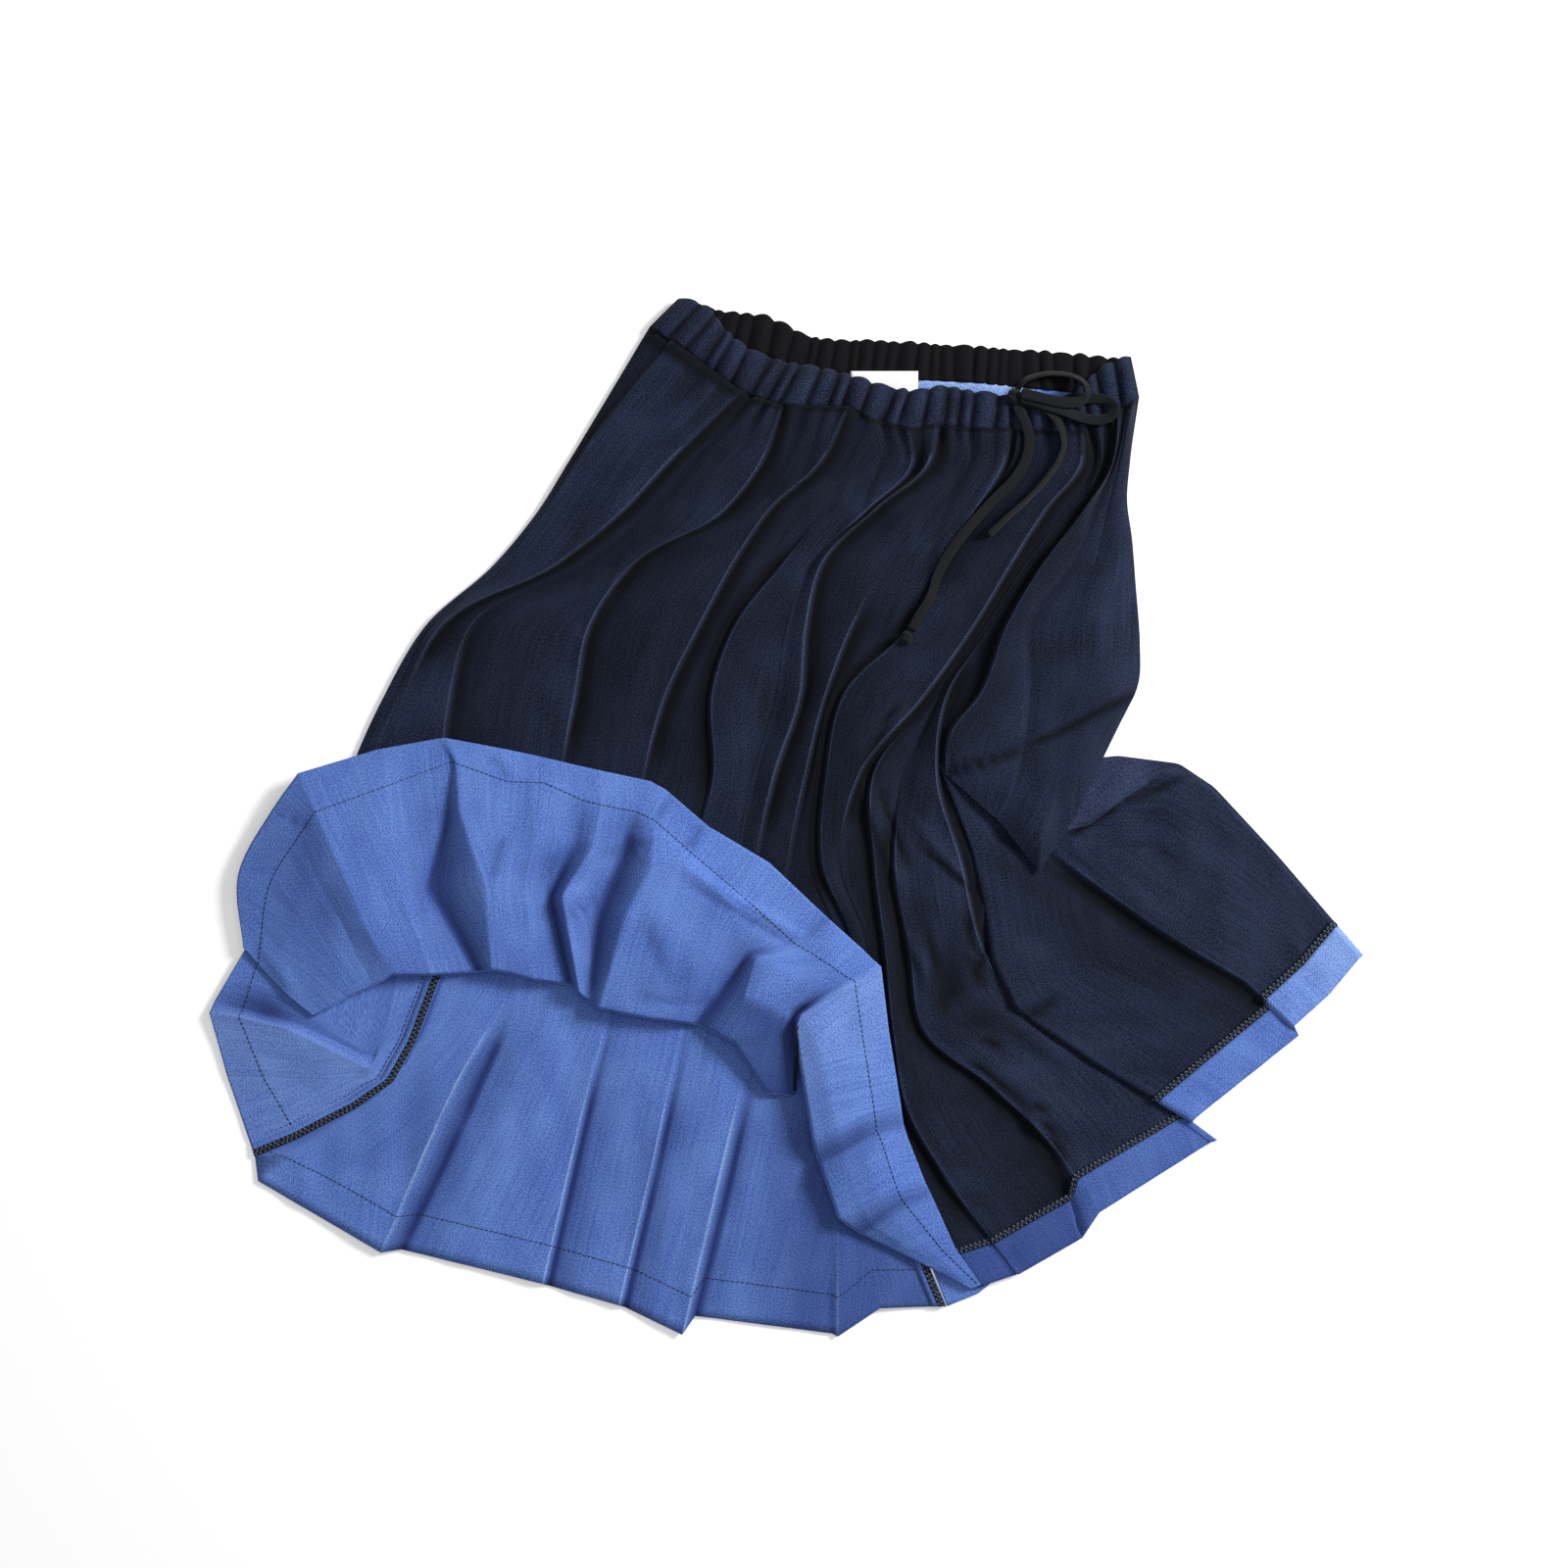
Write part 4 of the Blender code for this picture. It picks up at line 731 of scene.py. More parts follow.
def resampled(path, step):
    """Points evenly spread along a path, about a step apart."""
    run = running(path[None], 1)[0]
    even = np.linspace(0, run[-1], max(2, int(run[-1] / step) + 1))
    return np.stack([np.interp(even, run, path[:, k]) for k in range(3)], axis=-1)


def side_and_rise(path):
    """Unit vectors at each point of a path: level to its side, and square to both the path and the side."""
    tangent = np.gradient(path, axis=0)
    tangent /= np.maximum(np.linalg.norm(tangent, axis=1, keepdims=True), 1e-12)
    side = np.cross(tangent, (0, 0, 1))
    side /= np.maximum(np.linalg.norm(side, axis=1, keepdims=True), 1e-6)
    return side, np.cross(side, tangent)


def closed_rings(name, tubes, material):
    """One mesh of tubes, each through its rings of points and closed at both ends."""
    points = []
    faces = []
    for rings in tubes:
        count, sides = rings.shape[:2]
        index = sum(len(block) for block in points) + np.arange(count * sides).reshape(count, sides)
        after = np.roll(index, -1, axis=1)
        quads = np.stack([index[:-1], after[:-1], after[1:], index[1:]], axis=-1).reshape(-1, 4)
        points.append(rings.reshape(-1, 3))
        faces += quads.tolist() + [index[0, ::-1].tolist(), index[-1].tolist()]
    mesh = bpy.data.meshes.new(name)
    mesh.from_pydata(np.concatenate(points), [], faces)
    mesh.materials.append(material)
    return placed(name, mesh)


def tube(name, paths, radius, material):
    """Round threads along paths of points: rings of radius about each point, square to the path and closed
    at both ends by a smaller ring."""
    turn = np.linspace(0, 2 * np.pi, THREAD_SIDES, endpoint=False)[None, :, None]
    tubes = []
    for path in paths:
        side, rise = side_and_rise(path)
        size = np.ones(len(path))
        size[[0, -1]] = THREAD_END
        ring = np.cos(turn) * side[:, None] + np.sin(turn) * rise[:, None]
        tubes.append(path[:, None] + ring * radius * size[:, None, None])
    return closed_rings(name, tubes, material)


def overlock(name, edge, inward):
    """Overlocking along an edge: threads that swing from it and back as rounded zigzags, two dark ones that
    cross and a paler one over them. inward is the way they swing, on to the cloth that they are sewn to."""
    path = resampled(edge, OVERLOCK_PITCH / OVERLOCK_POINTS)
    into = np.stack([np.interp(np.linspace(0, 1, len(path)), np.linspace(0, 1, len(inward)), inward[:, k])
                     for k in range(3)], axis=-1)
    into /= np.linalg.norm(into, axis=1, keepdims=True)
    run = np.arange(len(path)) / OVERLOCK_POINTS
    zigzags = []
    for row in OVERLOCK_THREADS:
        wave = 0.5 + 0.5 * np.sin(2 * np.pi * (run * row.swings + row.phase))
        swing = row.first + (row.last - row.first) * wave
        loops = path + into * (swing * OVERLOCK_WIDTH)[:, None]
        loops[:, 2] += row.lift + 0.0003 * np.cos(4 * np.pi * run)
        zigzags.append(loops)
    dark = tube(f"{name}_overlock", zigzags[:2], THREAD_RADIUS, DARK_THREAD)
    pale = tube(f"{name}_overlock_loops", zigzags[2:], THREAD_RADIUS * 0.5, PALE_THREAD)
    return [dark, pale]


def hem_band(number, grid, first, last, shade, pale=0.0):
    """One band of turned-up hem with its overlocked edge, made from the points of the panel it lies on.
    shade is how much painted shade darkens it, and pale how much painted light brightens it, growing
    from half at its first column to all at its last."""
    distances = np.linspace(HEM_TURN_UP, 0, HEM_CELLS + 1)
    lower = np.stack([up_from_hem(grid[:, column], distances) for column in range(first, last + 1)], axis=1)
    lower[..., 2] += HEM_CLEAR
    upper = lower.copy()
    upper[..., 2] += HEM_THICK
    name = f"hem_band_{number}"
    upper[..., 2] += ripples(upper, 34, 0.35, 0.5, number)
    # Painted shade over the whole band, and painted light that grows along it.
    marks = {"deep": np.full(upper.shape[:2], shade),
             "wear": np.tile(np.linspace(0.5, 1, upper.shape[1]) * pale, (upper.shape[0], 1))}
    piece = cloth_piece(name, metres(upper), metres(lower), BLUE, NAVY, marks=marks)
    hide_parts(f"hem_turn_up_{number}")
    edge = metres(upper[0])
    threads = overlock(name, edge, metres(upper[0]) - metres(upper[1]))


# Painted shade grows from the first band to the fourth, and painted light pales the first.
hem_band(1, right, right_starts["lower_pleat_foot"], right_starts["far_side"], 0.0, 0.8)
hem_band(2, right, right_starts["under_twist_foot"], right_starts["lower_pleat_foot"], 0.15)
hem_band(3, front, column_of["corner_pleat foot"], column_of["under_flap"], 0.4)
hem_band(4, front, column_of["pocket_pleat foot"], column_of["corner_pleat foot"], 0.7)

# The front thrown up.
# The lower left of the front panel is folded up over itself, so its blue inside and the stitch line
# of its hem show, with the pressed pleats as ridges and valleys.

THROWN_UP = (
    Pleat("corner_valley",
          ((248, 967, 9), (263, 985, 8.4), (277, 1000, 8), (293, 1016, 8), (318, 1036, 7.5))),
    Pleat("left_face",
          ((243, 893, 11), (280, 893, 15), (303, 925, 18), (330, 968, 17), (358, 1014, 12))),
    Pleat("left_edge",
          ((277, 828, 13), (305, 855, 18), (325, 895, 21), (352, 945, 20), (380, 1004, 14))),
    Pleat("left_ridge",
          ((305, 789, 16), (323, 828, 23), (348, 880, 28), (376, 947, 27), (400, 993, 18))),
    Pleat("left_panel",
          ((385, 765, 15), (392, 803, 20), (400, 860, 24), (415, 925, 24), (440, 993, 17))),
    Pleat("facet_valley",
          ((446, 754, 15.5), (462, 776, 17), (455, 845, 17), (439, 904, 14), (488, 990, 11))),
    Pleat("facet_ridge",
          ((455, 753, 16.5), (466, 778, 20), (470, 828, 26), (497, 898, 31), (503, 988, 20))),
    Pleat("short_crease",
          ((519, 765, 15), (519, 797, 19.5), (514, 850, 24), (506, 905, 29), (520, 991, 18))),
    Pleat("soft_panel",
          ((552, 772, 15), (556, 798, 19.5), (548, 850, 23), (536, 902, 24), (545, 998, 17))),
    Pleat("deep_valley",
          ((585, 780, 15), (596, 816, 19.5), (588, 862, 18), (562, 914, 14), (582, 1003, 10))),
    Pleat("deep_ridge",
          ((612, 786, 15), (614, 821, 19.5), (604, 868, 23), (574, 914, 27), (592, 1012, 19))),
    Pleat("peak_valley",
          ((664, 797, 15.5), (650, 828, 19.5), (640, 868, 15), (612, 935, 14), (602, 1020, 13))),
    Pleat("peak_ridge",
          ((680, 806, 16), (668, 836, 20.5), (666, 886, 28), (640, 935, 31), (612, 1027, 19))),
    Pleat("broad_face",
          ((723, 843, 15), (704, 869, 20), (698, 882, 28), (684, 940, 27), (662, 1037, 17))),
    Pleat("broad_middle",
          ((785, 880, 15), (760, 917, 18.5), (746, 922, 25), (716, 975, 22), (694, 1041, 15))),
    Pleat("pocket_valley",
          ((840, 932, 15), (812, 963, 19.5), (764, 974, 19), (738, 1012, 13), (714, 1044, 9))),
    Pleat("pocket_ridge",
          ((852, 943, 16), (828, 972, 20), (771, 976, 26), (760, 1018, 25), (750, 1062, 18))),
    Pleat("facet_corner",
          ((880, 968, 16), (852, 988, 21), (828, 1006, 24), (802, 1034, 22), (784, 1114, 10))),
    Pleat("facet_right",
          ((890, 978, 16), (862, 995, 21), (838, 1012, 21), (810, 1036, 15), (811, 1116, 8))),
    Pleat("strip_corner",
          ((899, 986, 17), (872, 1000, 22), (848, 1014, 24), (817, 1034, 28), (813, 1046, 27))),
    Pleat("strip_top",
          ((907, 1052, 14), (880, 1057, 19), (858, 1062, 23), (836, 1068, 25), (817, 1080, 23))),
    Pleat("strip_above",
          ((919, 1126, 13), (892, 1133, 17), (874, 1140, 20), (854, 1151, 21), (831, 1163, 18))),
    Pleat("strip_crease",
          ((922, 1147, 10.5), (894, 1153, 12), (879, 1158, 13), (859, 1170, 14), (836, 1181, 11))),
    Pleat("strip_middle",
          ((926, 1160, 13), (900, 1166, 18), (882, 1175, 20), (862, 1186, 20), (842, 1198, 17))),
    Pleat("strip_ridge",
          ((944, 1206, 15), (915, 1213, 20), (898, 1220, 21), (880, 1231, 20), (857, 1242, 16))),
    Pleat("strip_turn",
          ((949, 1216, 12), (922, 1226, 15), (905, 1236, 15), (888, 1249, 13), (878, 1257, 9))),
    Pleat("strip_low",
          ((975, 1274, 12), (962, 1276, 12), (952, 1279, 12), (943, 1281, 11), (930, 1283, 9))),
    Pleat("hem_corner",
          ((1001, 1311, 9.5), (999, 1312, 9.5), (997, 1313, 9.5), (995, 1314, 9.5), (992, 1315, 8.5))),
)
SHARP_FOLDS = (  # a ridge and the valley that it drops to
    ("facet_ridge", "facet_valley"), ("deep_ridge", "deep_valley"), ("peak_ridge", "peak_valley"),
    ("pocket_ridge", "pocket_valley"), ("strip_corner", "facet_right"), ("strip_above", "strip_crease"),
    ("strip_ridge", "strip_turn"),
)
FOLD_RADIUS, TUCK, TUCK_HEIGHT = 3.0, 20.0, 5.2  # steps, steps and mm
THROWN_ALONG = 14  # squares between two stations
STITCH, STITCH_GAP = 0.0034, 0.0005  # metres
TUCK_STARTS = 4  # the station where the cloth turns under
FLATTENS, MARKED = 10, 4  # rows before it that the ripples fade over, and rows past it that have marks
# Painted light on the strip's upper part, at its columns by name.
STRIP_PAINTED_LIGHT = {"facet_right": 0, "strip_corner": 0.5, "strip_top": 0.45, "strip_middle": 0}
FACET_DARK_FROM, FACET_DARKENS = 2.85, 4  # the station where painted shade on the facet begins, and how fast it darkens from there
FACET_DARK = (0.45, 0.85)  # the painted shade at its left and at its right
THROWN_CREASES = (
    Crease(277, 828, 322, 846, 4, -2.4), Crease(262, 960, 300, 1010, 6, 1.8),
    Crease(545, 902, 602, 862, 5, -3.6), Crease(535, 935, 600, 905, 6, 2.2),
    Crease(530, 890, 592, 850, 5, 2.0), Crease(500, 905, 515, 850, 4, -2.4),
    Crease(570, 940, 640, 900, 5, -2.8), Crease(620, 880, 668, 858, 5, -3.0),
    Crease(610, 868, 660, 848, 5, 1.8), Crease(700, 884, 835, 966, 4, 2.0),
    Crease(690, 893, 815, 968, 4, -2.4), Crease(640, 1015, 735, 1026, 6, -2.0),
    Crease(815, 962, 850, 930, 4, -2.0), Crease(812, 1030, 872, 1002, 4, 2.4),
    Crease(752, 1062, 812, 1036, 5, 2.0), Crease(505, 770, 520, 798, 4, -1.6),
    Crease(668, 838, 690, 806, 4, -1.6), Crease(700, 868, 718, 840, 4, -1.8),
    Crease(425, 860, 445, 960, 7, 1.2), Crease(655, 930, 690, 1020, 8, -1.4),
)
# Painted shade in the thrown-up cloth's hollows.
THROWN_HOLLOWS = (
    Hollow(300, 885, 34, 62, 0.35), Hollow(335, 930, 20, 40, 0.35), Hollow(455, 880, 16, 70, 0.45),
    Hollow(575, 882, 26, 16, 0.5), Hollow(558, 930, 12, 30, 0.4), Hollow(636, 872, 20, 14, 0.5),
    Hollow(505, 875, 10, 30, 0.35), Hollow(760, 985, 24, 20, 0.25), Hollow(690, 1000, 40, 16, 0.2),
)


def turned_under(rows):
    """The thrown-up pleats carried round their fold and on beneath it."""
    longer = []
    for row in rows:
        stations = np.array(row.stations, float)
        way = stations[-1, :2] - stations[-2, :2]
        way = way / np.linalg.norm(way)
        last = stations[-1]
        nose = [*(last[:2] + way * FOLD_RADIUS), (last[2] + TUCK_HEIGHT) / 2]
        under = [*(last[:2] - way * 0.3 * TUCK), TUCK_HEIGHT]
        tucked = [*(last[:2] - way * TUCK), TUCK_HEIGHT]
        if row.name == "hem_corner":
            nose, under, tucked = ([*(last[:2] + way * step), last[2] - step] for step in (1, 2, 3))
        longer.append(Pleat(row.name, (*row.stations, nose, under, tucked)))
    return longer


def rounded_hem(grid, starts, rows):
    """The grid with its first rows drawn in plan as smooth curves across some of its faces, fading over as
    many rows again."""
    out = grid.copy()
    counts = np.diff(starts)
    where = np.concatenate([*(k + shares(count) for k, count in enumerate(counts)), [len(counts)]])
    face = slice(starts[0], starts[-1] + 1)
    for row in range(2 * rows):
        share = min(1, 2 - row / rows)
        out[row, face, :2] += share * (smooth_at(grid[row, starts, :2], where) - grid[row, face, :2])
    return out


def stitches(name, path, radius=0.00030):
    """A row of straight stitches along a path: short threads that rise from the cloth and sink back,
    with gaps between them."""
    run = running(path[None], 1)[0]
    starts = np.arange(0, run[-1] - STITCH, STITCH + STITCH_GAP)
    share = np.linspace(0, 1, 5)
    threads = []
    for start in starts:
        places = start + share * STITCH
        thread = np.stack([np.interp(places, run, path[:, k]) for k in range(3)], axis=-1)
        thread[:, 2] += 0.0004 * np.sin(np.pi * share) - 0.00005
        threads.append(thread)
    return tube(name, threads, radius, DARK_THREAD)


thrown, thrown_starts = pleated(turned_under(THROWN_UP), THROWN_ALONG)
thrown = rounded_hem(thrown, list(thrown_starts.values())[:4], THROWN_ALONG)
thrown_rows = np.arange(len(thrown))[:, None]
flat_part = np.clip((TUCK_STARTS * THROWN_ALONG - thrown_rows) / FLATTENS, 0, 1)
thrown[..., 2] += ripples(thrown, 70, 0.7, 0.1, 11) * flat_part
thrown_folds = [(thrown_starts[ridge], thrown_starts[valley]) for ridge, valley in SHARP_FOLDS]
thrown_marks = fold_marks(thrown, thrown_folds, 0.3, 0.9, 7.0, 9.0, 0.35)
thrown = creased(thrown, THROWN_CREASES, thrown_marks, 0.5)
thrown_marks["deep"] = np.maximum(thrown_marks["deep"], hollows(thrown, THROWN_HOLLOWS))
# Painted light on the strip's upper part.
strip_places = [thrown_starts[name] for name in STRIP_PAINTED_LIGHT]
strip_painted_light = np.interp(np.arange(thrown.shape[1]), strip_places, list(STRIP_PAINTED_LIGHT.values()), right=0)
thrown_marks["wear"] = np.maximum(thrown_marks["wear"], strip_painted_light)
# Painted shade on the facet beside the strip, towards the fold.
facet = slice(thrown_starts["pocket_ridge"], thrown_starts["facet_right"] + 1)
below_stitching = np.clip(FACET_DARKENS * (thrown_rows / THROWN_ALONG - FACET_DARK_FROM), 0, 1)
across_facet = np.linspace(*FACET_DARK, facet.stop - facet.start)[None, :]
thrown_marks["deep"][:, facet] = np.maximum(thrown_marks["deep"][:, facet], below_stitching * across_facet)
above_fold = thrown_rows <= TUCK_STARTS * THROWN_ALONG + MARKED
thrown_marks = {mark: amount * above_fold for mark, amount in thrown_marks.items()}
thrown_points = metres(thrown)
thrown_under = thrown_points - normals_of(thrown_points) * CLOTH * MM
thrown_up = cloth_piece("front_cloth_thrown_up", thrown_points, thrown_under, BLUE, NAVY,
                        list(thrown_starts.values())[:-1], thrown_marks)
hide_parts("front_panel_turned_back")
thrown_stitching = stitches("hem_stitching_thrown_up", thrown_points[THROWN_ALONG])

# The left corner of the front.
# The front panel runs on round the left edge to the side seam, inside up.

LEFT_CORNER = (
    Pleat("side_seam", ((259, 1182, 2.0), (304, 1163, 2.2), (365, 1131, 2.4), (402, 1104, 2.6),
                        (425, 1062, 2.6), (452, 990, 2.6))),
    Pleat("corner_face", ((231, 1100, 3), (268, 1101, 5.0), (330, 1104, 6.0), (376, 1100, 4.6),
                          (410, 1060, 3.2), (434, 988, 3))),
    Pleat("corner_ridge", ((213, 1034, 6), (243, 1037, 9.0), (296, 1050, 11.5), (376, 1092, 7.0),
                           (402, 1056, 3.6), (424, 986, 3.0))),
    Pleat("corner_dip", ((218, 1022, 4.6), (247, 1029, 4.0), (300, 1043, 3.8), (380, 1081, 3.8),
                         (394, 1044, 3.2), (408, 984, 3.0))),
    Pleat("corner_valley", ((251, 966, 6), (262, 981, 5.2), (283, 1000, 4.4), (312, 1026, 3.2),
                            (352, 1004, 3.0), (382, 976, 3.0))),
)
ALLOWANCE = (0.5, 4.5, 9.0, 14.2)  # steps from the seam
ALLOWANCE_THICK = 1.0  # mm
SEAM_STITCHING = 18.0  # steps from the seam
HEM_STITCHING_FROM, SEAM_STITCHING_FROM = 3, 6  # the column and the row where the corner's stitching begins
CORNER_DARK_ENDS, CORNER_DARK_LEAST = 2.6, 0.3  # stations, and the share of the painted shade that is left beyond
CORNER_LIT, CORNER_LIT_ENDS = (0.4, 0.5, 0), 4  # painted light at the seam, the ridge and the dip, and stations


def seam_allowance(name, node, seam, panel, distances, raw_side):
    """A pressed seam allowance beside its seam, with its overlocked edge, made from the panel's points."""
    far = np.linalg.norm(panel[:, :2] - seam[:, :2], axis=1, keepdims=True)
    lower = np.stack([seam + (panel - seam) * distance / far for distance in distances], axis=1)
    lower[..., 2] += HEM_CLEAR
    upper = lower.copy()
    upper[..., 2] += ALLOWANCE_THICK
    points = metres(upper)
    piece = cloth_piece(name, points, metres(lower), BLUE, NAVY)
    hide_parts(node)
    edge = points[:, raw_side]
    threads = overlock(name, edge, points[:, 1] - edge)


corner, corner_starts = pleated(LEFT_CORNER)
corner[..., 2] += ripples(corner, 40, 0.3, 1.2, 7)
corner_points = metres(corner)
ridge, dip = corner_starts["corner_ridge"], corner_starts["corner_dip"]
corner_marks = fold_marks(corner, [(ridge, dip)], 0.45, 0.85, 24.0, 6.0, 0.2)
corner_run = np.arange(len(corner))[:, None] / PLEAT_ALONG
# Painted shade in the pocket under the thrown-up edge, less of it beyond the first stations.
corner_marks["deep"] *= np.clip(CORNER_DARK_ENDS - corner_run, CORNER_DARK_LEAST, 1)
# Painted light on the seam side and the ridge, fading out along the corner.
lit = np.interp(np.arange(corner.shape[1]), (0, ridge, dip), CORNER_LIT)
fading = np.clip(CORNER_LIT_ENDS - corner_run, 0, 1)
corner_marks["wear"] = np.maximum(corner_marks["wear"], lit * fading)
left_corner = cloth_piece("front_cloth_left_corner", corner_points, metres(lowered(corner, CLOTH)), BLUE,
                          NAVY, list(corner_starts.values())[:-1], corner_marks)
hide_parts("front_panel_left_corner")
seam = corner_points[:, 0]
inward = corner_points[:, corner_starts["corner_face"]] - seam
beside_seam = seam + inward * SEAM_STITCHING * GRID / np.linalg.norm(inward, axis=1, keepdims=True)
corner_stitching = stitches("stitching_left_corner", corner_points[PLEAT_ALONG, HEM_STITCHING_FROM:])
seam_stitching = stitches("stitching_beside_left_seam", beside_seam[SEAM_STITCHING_FROM:])
seam_allowance("seam_allowance_left_cloth", "seam_allowance_left", corner[:, 0],
               corner[:, corner_starts["corner_face"]], ALLOWANCE, 0)

# The back panel.
# It lies under the front with its blue inside up, and shows below the thrown-up hem.

BACK_PLEATS = (
    Pleat("left_side", ((694, 338, 1.4), (610, 450, 1.4), (466, 650, 1.4), (400, 830, 1.4),
                        (453, 991, 1.6), (390, 1113, 1.8), (262, 1206, 2.2))),
    Pleat("first_crease", ((728, 349, 1.6), (660, 450, 1.6), (520, 650, 1.6), (480, 830, 1.8),
                           (519, 997, 2.0), (462, 1110, 4.5), (388, 1279, 5.0))),
    Pleat("first_dip", ((735, 352, 1.5), (668, 450, 1.5), (530, 650, 1.5), (489, 830, 1.5),
                        (526, 999, 2.0), (482, 1120, 2.0), (409, 1276, 2.2))),
    Pleat("second_crease", ((800, 369, 1.6), (770, 450, 1.6), (680, 650, 1.6), (634, 830, 1.8),
                            (624, 1010, 2.0), (592, 1140, 4.0), (553, 1311, 4.2))),
    Pleat("second_dip", ((804, 371, 1.5), (775, 450, 1.5), (686, 650, 1.5), (640, 830, 1.5),
                         (630, 1012, 1.8), (598, 1142, 1.8), (559, 1313, 2.0))),
    Pleat("third_crease", ((870, 381, 1.6), (850, 450, 1.6), (780, 650, 1.6), (730, 830, 1.8),
                           (700, 1020, 2.0), (670, 1165, 4.0), (631, 1333, 4.2))),
    Pleat("third_dip", ((875, 382, 1.5), (855, 450, 1.5), (786, 650, 1.5), (736, 830, 1.5),
                        (706, 1022, 1.8), (676, 1167, 1.8), (637, 1335, 2.0))),
    Pleat("fourth_crease", ((930, 385, 1.6), (915, 450, 1.6), (860, 650, 1.6), (810, 830, 1.8),
                            (774, 1030, 2.0), (736, 1190, 4.4), (696, 1363, 4.8))),
    Pleat("fourth_dip", ((937, 386, 1.5), (923, 450, 1.5), (868, 650, 1.5), (818, 830, 1.5),
                         (782, 1032, 1.8), (745, 1200, 1.8), (709, 1344, 2.0))),
    Pleat("fifth_dip", ((1000, 389, 1.5), (985, 450, 1.5), (940, 650, 1.5), (900, 830, 1.5),
                        (862, 1020, 1.6), (850, 1200, 2.0), (849, 1362, 2.2))),
    Pleat("fifth_crease", ((1006, 390, 1.6), (991, 450, 1.6), (946, 650, 1.6), (906, 830, 1.8),
                           (868, 1022, 2.0), (856, 1202, 2.2), (855, 1365, 4.2))),
    Pleat("sixth_crease", ((1026, 392, 1.6), (1020, 450, 1.6), (970, 650, 1.6), (930, 830, 1.8),
                           (890, 1020, 2.0), (880, 1240, 2.2), (898, 1336, 4.2))),
    Pleat("right_seam", ((1055, 395, 1.4), (1060, 450, 1.4), (1020, 650, 1.4), (990, 830, 1.4),
                         (950, 1020, 1.6), (937, 1262, 1.8), (966, 1334, 2.2))),
)
WRAPPED_UNDER = (
    Pleat("right_seam", ((1056, 395, 1.4), (1061, 450, 1.4), (1021, 650, 1.4), (991, 830, 1.4),
                         (951, 1020, 1.6), (938, 1262, 1.8), (967, 1334, 2.2))),
    Pleat("corner", ((1078, 397, 1.4), (1085, 450, 1.4), (1050, 650, 1.4), (1020, 830, 1.4),
                     (990, 1020, 1.6), (972, 1262, 2.0), (999, 1321, 2.4))),
    Pleat("hidden_middle", ((1112, 401, 1.4), (1115, 450, 1.4), (1100, 650, 1.4), (1075, 790, 1.4),
                            (1100, 980, 1.5), (1140, 1120, 1.6), (1205, 1148, 1.6))),
    Pleat("hidden_side", ((1148, 404, 1.4), (1149, 450, 1.4), (1156, 650, 1.4), (1122, 775, 1.4),
                          (1225, 812, 1.4), (1295, 880, 1.5), (1384, 974, 1.6))),
)
BACK_ORDER = ("first", "second", "third", "fourth", "fifth")
# Painted shade in the back's hollows.
BACK_HOLLOWS = (
    Hollow(664, 1240, 20, 110, 0.45), Hollow(432, 1160, 18, 80, 0.35), Hollow(740, 1230, 20, 60, 0.3),
    Hollow(600, 1180, 12, 90, 0.25), Hollow(360, 1150, 40, 40, 0.15),
)
BACK_SHOWS, SEAM_SHOWS = 4 * PLEAT_ALONG, 5 * PLEAT_ALONG  # rows where the back and its right seam show
BACK_RISES = 12  # rows over which the ripples of what shows begin
CORNER_ROWS = 5  # rows of the back past the end of its side seam
HEM_CORNER = (262, 1206)
STRIP_LEFT, STRIP_WIDE, STRIP_DARK = 730, 90, 0.55  # steps, steps and how dark the painted shadow of the strip is on the back
WAIST_WORN = 8  # rows below the waist that are worn pale


def even_along(polyline, count):
    """Points spread evenly along a polyline."""
    run = np.concatenate([[0], np.cumsum(np.linalg.norm(np.diff(polyline, axis=0), axis=1))])
    along = np.linspace(0, run[-1], count)
    return np.stack([np.interp(along, run, polyline[:, k]) for k in range(2)], axis=-1)


back, back_starts = pleated(BACK_PLEATS, PLEAT_ALONG, curve_through)
seam_rows = len(back) - BACK_SHOWS - CORNER_ROWS
back[BACK_SHOWS : -CORNER_ROWS, 0, :2] = even_along(corner[::-1, 0, :2], seam_rows)
back[-CORNER_ROWS - 1 :, 0, :2] = even_along(np.array([corner[0, 0, :2], HEM_CORNER]), CORNER_ROWS + 1)
back_rows = np.arange(len(back))[:, None]
shown = np.clip((back_rows - BACK_SHOWS) / BACK_RISES, 0, 1)
back[..., 2] += (0.5 + ripples(back, 46, 0.45, 0.15, 17)) * shown
back_points = metres(back)
back_folds = [(back_starts[f"{order}_crease"], back_starts[f"{order}_dip"]) for order in BACK_ORDER]
back_marks = fold_marks(back, back_folds, 0.85, 0.95, 8.0, 2.2, 0.4)
# Painted shadow of the thrown-up strip, and painted shade in the hollows.
under_strip = np.clip((back[..., 0] - STRIP_LEFT) / STRIP_WIDE, 0, 1) * STRIP_DARK * shown
back_marks["deep"] = np.maximum(back_marks["deep"], np.maximum(under_strip, hollows(back, BACK_HOLLOWS)))
back_marks["wear"] = np.maximum(back_marks["wear"], np.clip(1 - back_rows / WAIST_WORN, 0, 1))
back_panel = cloth_piece("back_cloth", back_points, metres(lowered(back, CLOTH)), BLUE, NAVY,
                         list(back_starts.values())[:-1], back_marks)
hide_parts("back_panel")
hem_row = np.stack([up_from_hem(back[:, k], [HEM_TURN_UP])[0] for k in range(back.shape[1])])
back_stitching = stitches("hem_stitching_back", metres(hem_row))
seam_allowance("seam_allowance_right_cloth", "seam_allowance_right", back[SEAM_SHOWS:, -1],
               back[SEAM_SHOWS:, back_starts["sixth_crease"]], ALLOWANCE[::-1], -1)

